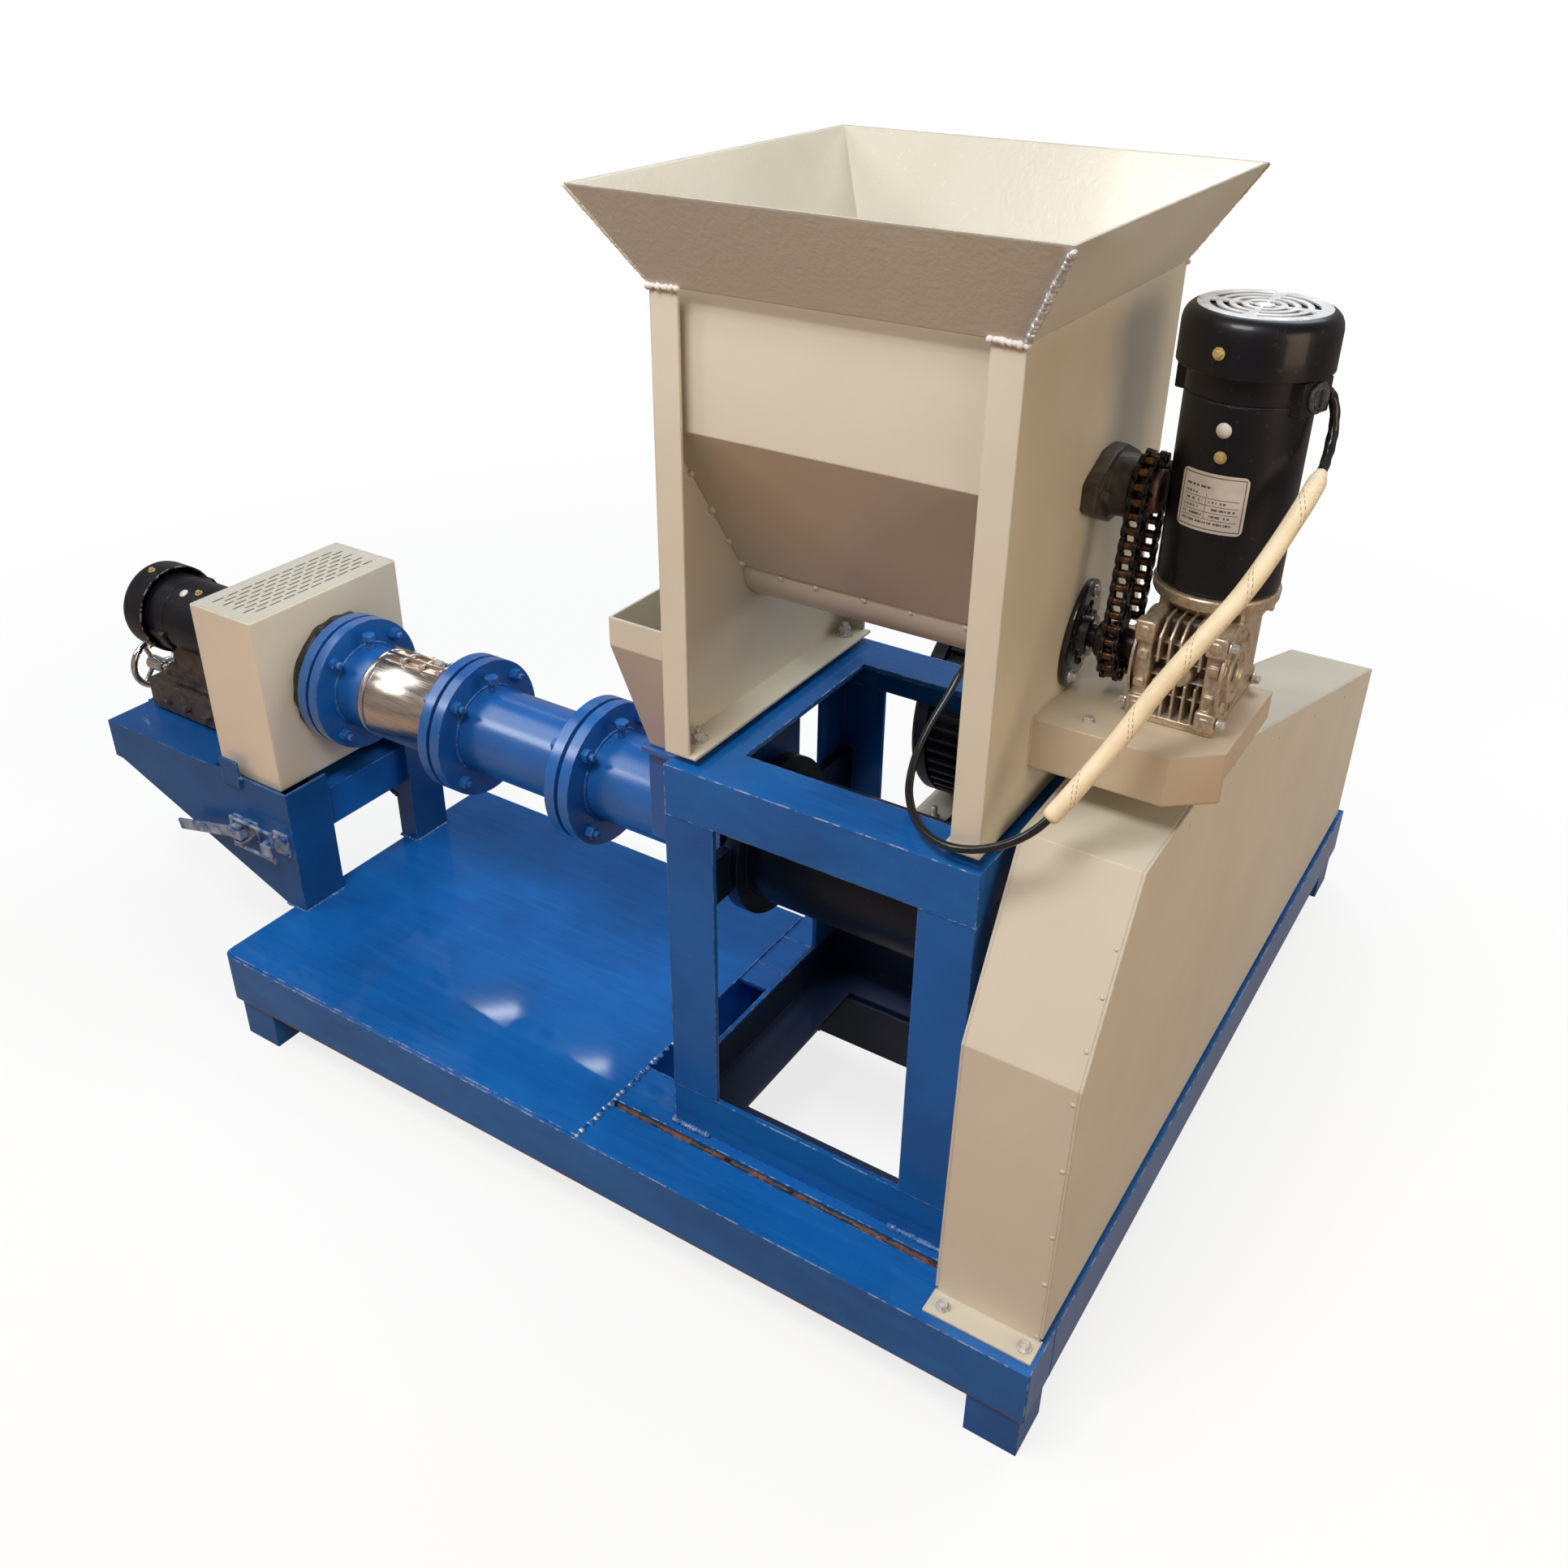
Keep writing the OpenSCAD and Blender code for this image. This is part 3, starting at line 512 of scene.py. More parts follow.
def makeStage():
    bm = bmesh.new()
    bmesh.ops.create_grid(bm, x_segments=8, y_segments=8, size=14)
    floor = bpy.data.objects.new("floor", meshFrom(bm, "floor"))
    scene.collection.objects.link(floor)
    material, tree, shader = newMaterial("floor")
    path = addNode(tree, "ShaderNodeLightPath")
    # bounced light meets a greyer floor than the camera does
    shade = mixed(tree, path.outputs["Is Camera Ray"], (0.20, 0.125, 0.08), (0.85, 0.85, 0.85))
    tree.links.new(shade, shader.inputs["Base Color"])
    shader.inputs["Roughness"].default_value = 0.9
    glow = addNode(tree, "ShaderNodeEmission", {"Color": (1, 1, 1, 1), "Strength": 1.0})
    # away from the machine the floor turns into the plain white backdrop
    flat = addNode(tree, "ShaderNodeVectorMath", {"Vector": objectPoint(tree)}, operation="LENGTH")
    share = ranged(tree, flat.outputs["Value"], 0.9, 2.3, 0.80, 1.0)
    seen = times(tree, path.outputs["Is Camera Ray"], share)
    shiny = times(tree, path.outputs["Is Glossy Ray"], 0.13)
    mix = mixedShader(tree, maths(tree, "ADD", seen, shiny, clamp=True), shader, glow)
    tree.links.new(mix.outputs[0], tree.nodes["Material Output"].inputs[0])
    floor.data.materials.append(material)


def makeWorld():
    world = bpy.data.worlds.new("studio")
    scene.world = world
    world.use_nodes = True
    tree = world.node_tree
    tree.nodes.clear()
    out = addNode(tree, "ShaderNodeOutputWorld")
    coords = addNode(tree, "ShaderNodeTexCoord")
    split = addNode(tree, "ShaderNodeSeparateXYZ", {"Vector": coords.outputs["Generated"]})
    low = ranged(tree, split.outputs["Z"], -0.05, 0.05)
    high = ranged(tree, split.outputs["Z"], 0.1, 0.9)
    walls = mixed(tree, high, (1.0, 0.88, 0.76), (0.66, 0.74, 0.84))
    room = mixed(tree, low, (0.15, 0.11, 0.08), walls)
    soft = addNode(tree, "ShaderNodeBackground", {"Color": room, "Strength": 0.30})
    white = addNode(tree, "ShaderNodeBackground", {"Color": (1, 1, 1, 1), "Strength": 1.0})
    bright = mixed(tree, high, (0.90, 0.80, 0.70), (0.16, 0.19, 0.24))
    mirror = addNode(tree, "ShaderNodeBackground", {"Color": bright, "Strength": 0.32})
    path = addNode(tree, "ShaderNodeLightPath")
    shiny = mixedShader(tree, path.outputs["Is Glossy Ray"], soft, mirror)
    mix = mixedShader(tree, path.outputs["Is Camera Ray"], shiny, white)
    tree.links.new(mix.outputs[0], out.inputs[0])


# places and targets are in metres; power is in watts
lamps = {
    "key softbox": {"place": (0.3, -1.5, 2.5), "target": (0.3, -0.2, 0.7), "size": (0.9, 0.6), "power": 34,
                    "colour": (1.0, 0.985, 0.97)},
    "overhead softbox": {"place": (0.5, 1.2, 2.7), "target": (0.3, 0.2, 0.4), "size": (1.8, 1.2), "power": 36,
                         "colour": (0.90, 0.97, 1.0)},
    "left softbox": {"place": (-2.1, -1.0, 2.9), "target": (-0.3, -0.3, 0.4), "size": (1.9, 1.2), "power": 18,
                     "colour": (0.88, 0.95, 1.0)},
    "fill right": {"place": (3.2, -1.2, 1.4), "target": (0, 0, 0.5), "size": (1.6, 1.8), "power": 31,
                   "colour": (1.0, 0.78, 0.52)},
    "fill behind right": {"place": (1.9, 1.4, 1.0), "target": (0.75, 0.4, 0.4), "size": (0.8, 0.8),
                          "power": 9, "colour": (1.0, 0.98, 0.95), "shiny": False},
    "floor glow": {"place": (-0.7, -1.6, 0.18), "target": (-0.3, 0, -0.1), "size": (2.6, 0.3), "power": 5.5,
                   "colour": (1.0, 0.40, 0.12), "shiny": False},
    "front left softbox": {"place": (-2.3, -2.45, 2.7), "target": (-0.05, -0.36, 0.5), "size": (0.85, 0.85),
                           "power": 22, "colour": (0.94, 0.97, 1.0)},
    "ceiling lamp": {"place": (-2.828, 2.06, 3.34), "target": (-0.04, -0.52, 0.14), "size": (0.34, 0.035),
                     "power": 0.9},
    "second ceiling lamp": {"place": (-2.217, 2.05, 3.34), "target": (0.14, -0.52, 0.14),
                            "size": (0.22, 0.035), "power": 0.5}}

makeCamera()
makeStage()
makeWorld()
for name, lamp in lamps.items():
    areaLight(name, **lamp)
scene.view_settings.view_transform = "Standard"
print("camera and light")


# the cable and its sleeve

cable = {"radius": 4.0, "step": 5, "sides": 18, "tapeRadius": 4.1, "tapeFrom": 1, "tapeTo": 5,
         "tapeStep": 2.5, "sleeveRadius": 8.2, "sleeveFrom": 5, "sleeveTo": 12, "sleeveStep": 4,
         "sleeveSides": 28, "glandRadius": 5.6, "glandTo": 1, "glandStep": 1.2, "points": [
             (24.8, 328, 905), (26.9, 334.8, 904.5), (30.5, 338.8, 898), (35, 336.5, 882), (37.5, 326, 862),
             (38.8, 306, 846), (36, 268, 824), (18, 224, 771), (-6, 192, 725), (-28, 168, 684),
             (-48, 146, 640), (-68, 120, 601), (-86, 101, 569), (-101, 90, 552), (-124, 85, 535),
             (-153, 85, 521), (-184, 91, 514), (-215, 110, 513), (-238, 138, 515), (-254, 168, 517),
             (-272, 216, 517), (-285, 270, 520), (-293, 320, 525), (-302, 372, 531), (-312, 430, 528),
             (-330, 500, 500), (-358, 600, 446), (-392, 710, 402), (-420, 796, 380), (-428, 836, 376),
             (-429, 860, 375)]}


# a smooth line through the cable's points from first to last, a few millimetres a step
def smoothLine(first, last, step):
    points = cable["points"]
    path = []
    for i in range(first, last):
        a, b, c, d = (Vector(points[min(max(k, 0), len(points) - 1)]) for k in (i - 1, i, i + 1, i + 2))
        count = max(1, round((c - b).length / step))
        for n in range(count):
            t = n / count
            path.append(0.5 * (2 * b + (c - a) * t + (2 * a - 5 * b + 4 * c - d) * t ** 2
                               + (3 * b - a - 3 * c + d) * t ** 3))
    path.append(Vector(points[last]))
    return [at(*p) for p in path]


# the length run at each point of a path, in metres
def runsAlong(path):
    runs = [0.0]
    for a, b in zip(path, path[1:]):
        runs.append(runs[-1] + (b - a).length)
    return runs


# a closed tube along a path, with u round it and v the length run
def tubeMesh(name, path, radius, sides):
    bm = bmesh.new()
    uv = bm.loops.layers.uv.new("run")
    runs = runsAlong(path)
    side = (path[1] - path[0]).normalized().orthogonal().normalized()
    rings = []
    for i, point in enumerate(path):
        way = (path[min(i + 1, len(path) - 1)] - path[max(i - 1, 0)]).normalized()
        side = (side - way * side.dot(way)).normalized()
        other = way.cross(side)
        ring = []
        for k in range(sides):
            turn = 2 * math.pi * k / sides
            reach = radius(runs[i], turn) if callable(radius) else radius
            ring.append(bm.verts.new(point + (side * math.cos(turn) + other * math.sin(turn)) * reach / 1000))
        rings.append(ring)
    for i in range(len(rings) - 1):
        for k in range(sides):
            j = (k + 1) % sides
            face = bm.faces.new((rings[i][k], rings[i][j], rings[i + 1][j], rings[i + 1][k]))
            for loop, (around, along) in zip(face.loops, ((k, i), (k + 1, i), (k + 1, i + 1), (k, i + 1))):
                loop[uv].uv = (around / sides, runs[along])
    bm.faces.new(list(reversed(rings[0])))
    bm.faces.new(rings[-1])
    return meshFrom(bm, name)


# braided glass sleeve with pairs of dark marker threads winding round it
def sleeveFinish():
    material, tree, shader = newMaterial("woven sleeve")
    uv = addNode(tree, "ShaderNodeUVMap", uv_map="run")
    split = addNode(tree, "ShaderNodeSeparateXYZ", {"Vector": uv.outputs[0]})
    around, along = split.outputs["X"], split.outputs["Y"]
    strands = []
    for way in (22, -22):
        wave = plus(tree, times(tree, around, way), times(tree, along, 560))
        strands.append(maths(tree, "SINE", times(tree, wave, 2 * math.pi)))
    weave = plus(tree, times(tree, plus(tree, strands[0], strands[1]), 0.25), 0.5)
    cloud = ranged(tree, noise(tree, 38, 4), 0.3, 0.7)
    colour = mixed(tree, cloud, (0.74, 0.60, 0.38), (0.88, 0.76, 0.53))
    colour = mixed(tree, times(tree, weave, 0.30), colour, (0.95, 0.88, 0.72))
    helix = maths(tree, "FRACT", plus(tree, around, times(tree, along, 13.5)))
    dash = maths(tree, "GREATER_THAN", maths(tree, "FRACT", times(tree, around, 17)), 0.42)
    for low, high in ((0.100, 0.118), (0.185, 0.200)):
        thread = times(tree, times(tree, strip(tree, helix, low, high), dash), 0.7)
        colour = mixed(tree, thread, colour, (0.05, 0.05, 0.05))
    dirt = ranged(tree, noise(tree, 60, 5, 0.7), 0.60, 0.72, 0, 0.35)
    colour = mixed(tree, dirt, colour, (0.36, 0.27, 0.15))
    tree.links.new(colour, shader.inputs["Base Color"])
    shader.inputs["Roughness"].default_value = 0.42
    shader.inputs["Sheen Weight"].default_value = 0.2
    bumped(tree, shader, [(weave, 0.35, 0.0005), (noise(tree, 90, 3), 0.2, 0.001)])
    return material


wovenSleeve = sleeveFinish()
route = smoothLine(0, len(cable["points"]) - 1, cable["step"])
tapeRoute = smoothLine(cable["tapeFrom"], cable["tapeTo"], cable["tapeStep"])
sleeveRoute = smoothLine(cable["sleeveFrom"], cable["sleeveTo"], cable["sleeveStep"])
sleeveLength = runsAlong(sleeveRoute)[-1]
glandRoute = smoothLine(0, cable["glandTo"], cable["glandStep"])
wrinkle = random.Random(4)
bumps = [wrinkle.uniform(0, 0.6) for i in range(40)]


# tape wound on in uneven turns of 6 mm
def tapeRadius(run, turn):
    return cable["tapeRadius"] + bumps[int(run * 1000 / 6) % 40] + 0.25 * math.sin(3 * turn + run * 400)


# a soft tube, pinched at its ends
def sleeveRadius(run, turn):
    ends = min(1.0, 0.62 + run / 0.03, 0.80 + (sleeveLength - run) / 0.01)
    uneven = 1 + 0.035 * math.cos(2 * turn + run * 9) + 0.015 * math.sin(run * 75)
    return cable["sleeveRadius"] * ends * uneven


# a ribbed cone with a rim at its foot
def glandRadius(run, turn):
    rim = 0.7 if run < 0.0025 else 0
    return cable["glandRadius"] - run * 1000 * 0.10 + rim + 0.20 * (int(run * 1000 / 1.8) % 2)


sides = cable["sides"]
powerCable = newPiece("powerCable", tubeMesh("powerCable", route, cable["radius"], sides), glossyRubber,
                      replaces=["power_cable"], angle=80)
cableTape = newPiece("cableTape", tubeMesh("cableTape", tapeRoute, tapeRadius, sides), blackRubber, angle=60)
sleeveTube = tubeMesh("cableSleeve", sleeveRoute, sleeveRadius, cable["sleeveSides"])
cableSleeve = newPiece("cableSleeve", sleeveTube, wovenSleeve, replaces=["cable_sleeve"], angle=80)
glandTube = tubeMesh("cableGland", glandRoute, glandRadius, sides)
cableGland = newPiece("cableGland", glandTube, blackRubber, angle=40)


# geometry node trees

def newTree(name, inputs):
    tree = bpy.data.node_groups.new(name, "GeometryNodeTree")
    tree.interface.new_socket("Geometry", in_out="INPUT", socket_type="NodeSocketGeometry")
    for label, kind, value in inputs:
        socket = tree.interface.new_socket(label, in_out="INPUT", socket_type="NodeSocket" + kind)
        if value is not None:
            socket.default_value = value
    tree.interface.new_socket("Geometry", in_out="OUTPUT", socket_type="NodeSocketGeometry")
    source = tree.nodes.new("NodeGroupInput")
    tree.nodes.new("NodeGroupOutput")
    return tree, source.outputs


def vector(tree, x=0.0, y=0.0, z=0.0):
    return addNode(tree, "ShaderNodeCombineXYZ", {"X": x, "Y": y, "Z": z}).outputs[0]


def moved(tree, geometry, **values):
    return addNode(tree, "GeometryNodeTransform", {"Geometry": geometry, **values}).outputs[0]


def joined(tree, parts):
    node = tree.nodes.new("GeometryNodeJoinGeometry")
    for part in parts:
        tree.links.new(part, node.inputs[0])
    return node.outputs[0]


def sendOut(tree, geometry, material, smooth=False):
    real = addNode(tree, "GeometryNodeRealizeInstances", {"Geometry": geometry}).outputs[0]
    if smooth:
        real = addNode(tree, "GeometryNodeSetShadeSmooth", {"Geometry": real}).outputs[0]
    done = addNode(tree, "GeometryNodeSetMaterial", {"Geometry": real, "Material": material})
    tree.links.new(done.outputs[0], tree.nodes["Group Output"].inputs[0])


def drum(tree, sides, radius, height, lift=0.0):
    body = addNode(tree, "GeometryNodeMeshCylinder", {"Vertices": sides, "Radius": radius, "Depth": height})
    rise = plus(tree, times(tree, height, 0.5), lift)
    return moved(tree, body.outputs["Mesh"], Translation=vector(tree, z=rise))


def facingRotation(tree):
    facing = addNode(tree, "GeometryNodeInputNamedAttribute", {"Name": "facing"}, data_type="FLOAT_VECTOR")
    return addNode(tree, "FunctionNodeAlignRotationToVector", {"Vector": facing.outputs[0]},
                   axis="Z").outputs[0]


# hexagon headed screws with a washer, one at each point, along its facing
def screwTree():
    tree, given = newTree("hex screws", [("Head Width", "Float", 0.013), ("Head Height", "Float", 0.005),
                          ("Washer Radius", "Float", 0.009), ("Washer Height", "Float", 0.0015),
                          ("Seed", "Int", 3), ("Material", "Material", None)])
    corner = times(tree, given["Head Width"], 0.5774)
    flat = times(tree, given["Head Width"], 0.475)
    head = drum(tree, 6, corner, given["Head Height"], given["Washer Height"])
    face = drum(tree, 20, flat, times(tree, given["Head Height"], 1.08), given["Washer Height"])
    washer = drum(tree, 22, given["Washer Radius"], given["Washer Height"])
    spin = addNode(tree, "FunctionNodeRandomValue", {2: 0.0, 3: 3.0, "Seed": given["Seed"]},
                   data_type="FLOAT")
    placed = addNode(tree, "GeometryNodeInstanceOnPoints", {"Points": given["Geometry"],
                     "Instance": joined(tree, [head, face, washer]), "Rotation": facingRotation(tree)})
    turned = addNode(tree, "GeometryNodeRotateInstances", {"Instances": placed.outputs[0],
                     "Rotation": vector(tree, z=spin.outputs[1])})
    sendOut(tree, turned.outputs[0], given["Material"])
    return tree


# flattened drops, one at each point: rivets, pan heads and spatter
def domeTree():
    tree, given = newTree("domes", [("Radius", "Float", 0.004), ("Rise", "Float", 0.4),
                          ("Spread", "Float", 0.0), ("Seed", "Int", 5), ("Material", "Material", None)])
    ball = addNode(tree, "GeometryNodeMeshUVSphere", {"Segments": 14, "Rings": 8, "Radius": given["Radius"]})
    flat = moved(tree, ball.outputs["Mesh"], Scale=vector(tree, 1.0, 1.0, given["Rise"]))
    low = minus(tree, 1.0, given["Spread"])
    size = addNode(tree, "FunctionNodeRandomValue", {2: low, 3: 1.0, "Seed": given["Seed"]},
                   data_type="FLOAT")
    placed = addNode(tree, "GeometryNodeInstanceOnPoints", {"Points": given["Geometry"], "Instance": flat,
                     "Rotation": facingRotation(tree), "Scale": size.outputs[1]})
    sendOut(tree, placed.outputs[0], given["Material"], smooth=True)
    return tree


# a weld bead: overlapping ripples laid along each edge path, with uneven width
def beadTree():
    tree, given = newTree("weld beads", [("Width", "Float", 0.006), ("Height", "Float", 0.002),
                          ("Step", "Float", 0.0018), ("Uneven", "Float", 0.35), ("Seed", "Int", 7),
                          ("Material", "Material", None)])
    curve = addNode(tree, "GeometryNodeMeshToCurve", {"Mesh": given["Geometry"]})
    dots = addNode(tree, "GeometryNodeResampleCurve", {"Curve": curve.outputs[0], "Length": given["Step"]},
                   mode="LENGTH")
    drop = addNode(tree, "GeometryNodeMeshIcoSphere", {"Radius": 0.5, "Subdivisions": 2})
    low = minus(tree, 1.0, given["Uneven"])
    size = addNode(tree, "FunctionNodeRandomValue", {2: low, 3: 1.0, "Seed": given["Seed"]},
                   data_type="FLOAT")
    wide = times(tree, given["Width"], size.outputs[1])
    high = times(tree, given["Height"], size.outputs[1])
    along = times(tree, given["Step"], 2.6)
    tangent = tree.nodes.new("GeometryNodeInputTangent")
    turn = addNode(tree, "FunctionNodeAlignRotationToVector", {"Vector": tangent.outputs[0]}, axis="X")
    placed = addNode(tree, "GeometryNodeInstanceOnPoints", {"Points": dots.outputs[0],
                     "Instance": drop.outputs["Mesh"], "Rotation": turn.outputs[0],
                     "Scale": vector(tree, along, wide, high)})
    real = addNode(tree, "GeometryNodeRealizeInstances", {"Geometry": placed.outputs[0]})
    rough = addNode(tree, "ShaderNodeTexNoise", {"Scale": 420.0, "Detail": 2.0})
    lump = addNode(tree, "ShaderNodeVectorMath", {0: rough.outputs["Color"], 1: (0.5, 0.5, 0.5)},
                   operation="SUBTRACT")
    push = addNode(tree, "ShaderNodeVectorMath",
                   {0: lump.outputs[0], "Scale": times(tree, given["Height"], 0.5)}, operation="SCALE")
    shaken = addNode(tree, "GeometryNodeSetPosition",
                     {"Geometry": real.outputs[0], "Offset": push.outputs[0]})
    sendOut(tree, shaken.outputs[0], given["Material"], smooth=True)
    return tree


# a roller chain on a closed path: inner and outer links in turn, with rollers and pins
def chainTree():
    tree, given = newTree("roller chain", [("Links", "Int", 36), ("Pitch", "Float", 0.0127),
                          ("Plate Radius", "Float", 0.0059), ("Waist", "Float", 0.0075),
                          ("Plate", "Float", 0.0016), ("Inner Width", "Float", 0.0078),
                          ("Roller Radius", "Float", 0.0043), ("Pin Radius", "Float", 0.0022),
                          ("Material", "Material", None), ("Roller Material", "Material", None)])
    curve = addNode(tree, "GeometryNodeMeshToCurve", {"Mesh": given["Geometry"]})
    dots = addNode(tree, "GeometryNodeResampleCurve", {"Curve": curve.outputs[0], "Count": given["Links"]},
                   mode="COUNT")
    halfPitch = times(tree, given["Pitch"], 0.5)

    def plate(side, gap):
        parts = []
        for end in (-1, 1):
            eye = addNode(tree, "GeometryNodeMeshCylinder", {"Vertices": 16, "Radius": given["Plate Radius"],
                          "Depth": given["Plate"]})
            shift = vector(tree, times(tree, halfPitch, end))
            parts.append(moved(tree, eye.outputs["Mesh"], Translation=shift))
        waist = addNode(tree, "GeometryNodeMeshCube",
                        {"Size": vector(tree, given["Pitch"], given["Waist"], given["Plate"])})
        parts.append(waist.outputs["Mesh"])
        reach = times(tree, gap, side)
        return moved(tree, joined(tree, parts), Translation=vector(tree, z=reach))

    inner = plus(tree, times(tree, given["Inner Width"], 0.5), times(tree, given["Plate"], 0.5))
    outer = plus(tree, inner, times(tree, given["Plate"], 1.12))
    innerPlates = joined(tree, [plate(-1, inner), plate(1, inner)])
    outerPlates = joined(tree, [plate(-1, outer), plate(1, outer)])
    pinLength = times(tree, plus(tree, outer, given["Plate"]), 2.0)
    index = tree.nodes.new("GeometryNodeInputIndex")
    odd = maths(tree, "MODULO", index.outputs[0], 2.0)
    turn = facingLink(tree)
    groups = []
    for shape, wanted in ((innerPlates, minus(tree, 1.0, odd)), (outerPlates, odd)):
        links = addNode(tree, "GeometryNodeInstanceOnPoints", {"Points": dots.outputs[0],
                        "Instance": shape, "Selection": wanted, "Rotation": turn})
        groups.append(links.outputs[0])
    atJoint = vector(tree, halfPitch)

    # a pin or roller across each joint
    def across(count, radius, length):
        rod = addNode(tree, "GeometryNodeMeshCylinder",
                      {"Vertices": count, "Radius": radius, "Depth": length})
        return addNode(tree, "GeometryNodeInstanceOnPoints", {"Points": dots.outputs[0], "Rotation": turn,
                       "Instance": moved(tree, rod.outputs["Mesh"], Translation=atJoint)}).outputs[0]

    def coated(geometry, material):
        real = addNode(tree, "GeometryNodeRealizeInstances", {"Geometry": geometry}).outputs[0]
        return addNode(tree, "GeometryNodeSetMaterial", {"Geometry": real, "Material": material}).outputs[0]

    pins = across(12, given["Pin Radius"], pinLength)
    rollers = across(18, given["Roller Radius"], given["Inner Width"])
    steel = coated(joined(tree, groups + [pins]), given["Material"])
    brown = coated(rollers, given["Roller Material"])
    tree.links.new(joined(tree, [steel, brown]), tree.nodes["Group Output"].inputs[0])
    return tree


# x along the chain and z along its pins, which lie along the machine
def facingLink(tree):
    tangent = tree.nodes.new("GeometryNodeInputTangent")
    first = addNode(tree, "FunctionNodeAlignRotationToVector", {"Vector": vector(tree, 1.0, 0.0, 0.0)},
                    axis="Z")
    second = addNode(tree, "FunctionNodeAlignRotationToVector",
                     {"Rotation": first.outputs[0], "Vector": tangent.outputs[0]}, axis="X", pivot_axis="Z")
    return second.outputs[0]


# a flat plate with staggered rows of long slots cut through it
def slottedPlateTree():
    tree, given = newTree("slotted plate", [("Width", "Float", 0.12), ("Length", "Float", 0.25),
                          ("Thickness", "Float", 0.0015), ("Columns", "Int", 8), ("Rows", "Int", 9),
                          ("Column Step", "Float", 0.011), ("Row Step", "Float", 0.024),
                          ("Slot Length", "Float", 0.018), ("Slot Width", "Float", 0.0022),
                          ("Material", "Material", None)])
    edge = addNode(tree, "GeometryNodeCurvePrimitiveQuadrilateral",
                   {"Width": given["Width"], "Height": given["Length"]})
    wide = times(tree, given["Column Step"], minus(tree, given["Columns"], 1.0))
    long = times(tree, given["Row Step"], minus(tree, given["Rows"], 1.0))
    grid = addNode(tree, "GeometryNodeMeshGrid", {"Size X": wide, "Size Y": long,
                   "Vertices X": given["Columns"], "Vertices Y": given["Rows"]})
    index = addNode(tree, "GeometryNodeInputIndex").outputs[0]
    column = maths(tree, "FLOOR", maths(tree, "DIVIDE", index, given["Rows"]))
    odd = minus(tree, maths(tree, "MODULO", column, 2.0), 0.5)
    shift = times(tree, odd, times(tree, given["Row Step"], 0.5))
    staggered = addNode(tree, "GeometryNodeSetPosition", {"Geometry": grid.outputs["Mesh"],
                        "Offset": vector(tree, y=shift)})
    slot = addNode(tree, "GeometryNodeCurvePrimitiveQuadrilateral",
                   {"Width": given["Slot Width"], "Height": given["Slot Length"]})
    soft = addNode(tree, "GeometryNodeFilletCurve", {"Curve": slot.outputs[0], "Count": 2,
                   "Radius": times(tree, given["Slot Width"], 0.45)}, mode="POLY")
    slots = addNode(tree, "GeometryNodeInstanceOnPoints", {"Points": staggered.outputs[0],
                    "Instance": soft.outputs[0]})
    slots = addNode(tree, "GeometryNodeRealizeInstances", {"Geometry": slots.outputs[0]})
    sheet = addNode(tree, "GeometryNodeFillCurve",
                    {"Curve": joined(tree, [edge.outputs[0], slots.outputs[0]])})
    deep = addNode(tree, "GeometryNodeExtrudeMesh", {"Mesh": sheet.outputs[0], "Offset": vector(tree, z=1.0),
                   "Offset Scale": times(tree, given["Thickness"], -1.0), "Individual": False})
    under = addNode(tree, "GeometryNodeFlipFaces", {"Mesh": deep.outputs[0]})
    sendOut(tree, joined(tree, [sheet.outputs[0], under.outputs[0]]), given["Material"])
    return tree


# long thin fins standing round a drum that lies along X
def finTree():
    tree, given = newTree("drum fins", [("Count", "Int", 60), ("Radius", "Float", 0.14),
                          ("Height", "Float", 0.015), ("Length", "Float", 0.36),
                          ("Thickness", "Float", 0.0028), ("Material", "Material", None)])
    ring = addNode(tree, "GeometryNodeMeshCircle", {"Vertices": given["Count"], "Radius": given["Radius"]})
    place = addNode(tree, "GeometryNodeInputPosition")
    turn = addNode(tree, "FunctionNodeAlignRotationToVector", {"Vector": place.outputs[0]}, axis="X")
    fin = addNode(tree, "GeometryNodeMeshCube",
                  {"Size": vector(tree, given["Height"], given["Thickness"], given["Length"])})
    out = moved(tree, fin.outputs["Mesh"],
                Translation=vector(tree, times(tree, given["Height"], 0.5)))
    placed = addNode(tree, "GeometryNodeInstanceOnPoints", {"Points": ring.outputs[0], "Instance": out,
                     "Rotation": turn.outputs[0]})
    laid = moved(tree, placed.outputs[0], Rotation=(0, math.pi / 2, 0))
    home = addNode(tree, "GeometryNodeInstanceOnPoints", {"Points": given["Geometry"], "Instance": laid})
    sendOut(tree, home.outputs[0], given["Material"])
    return tree


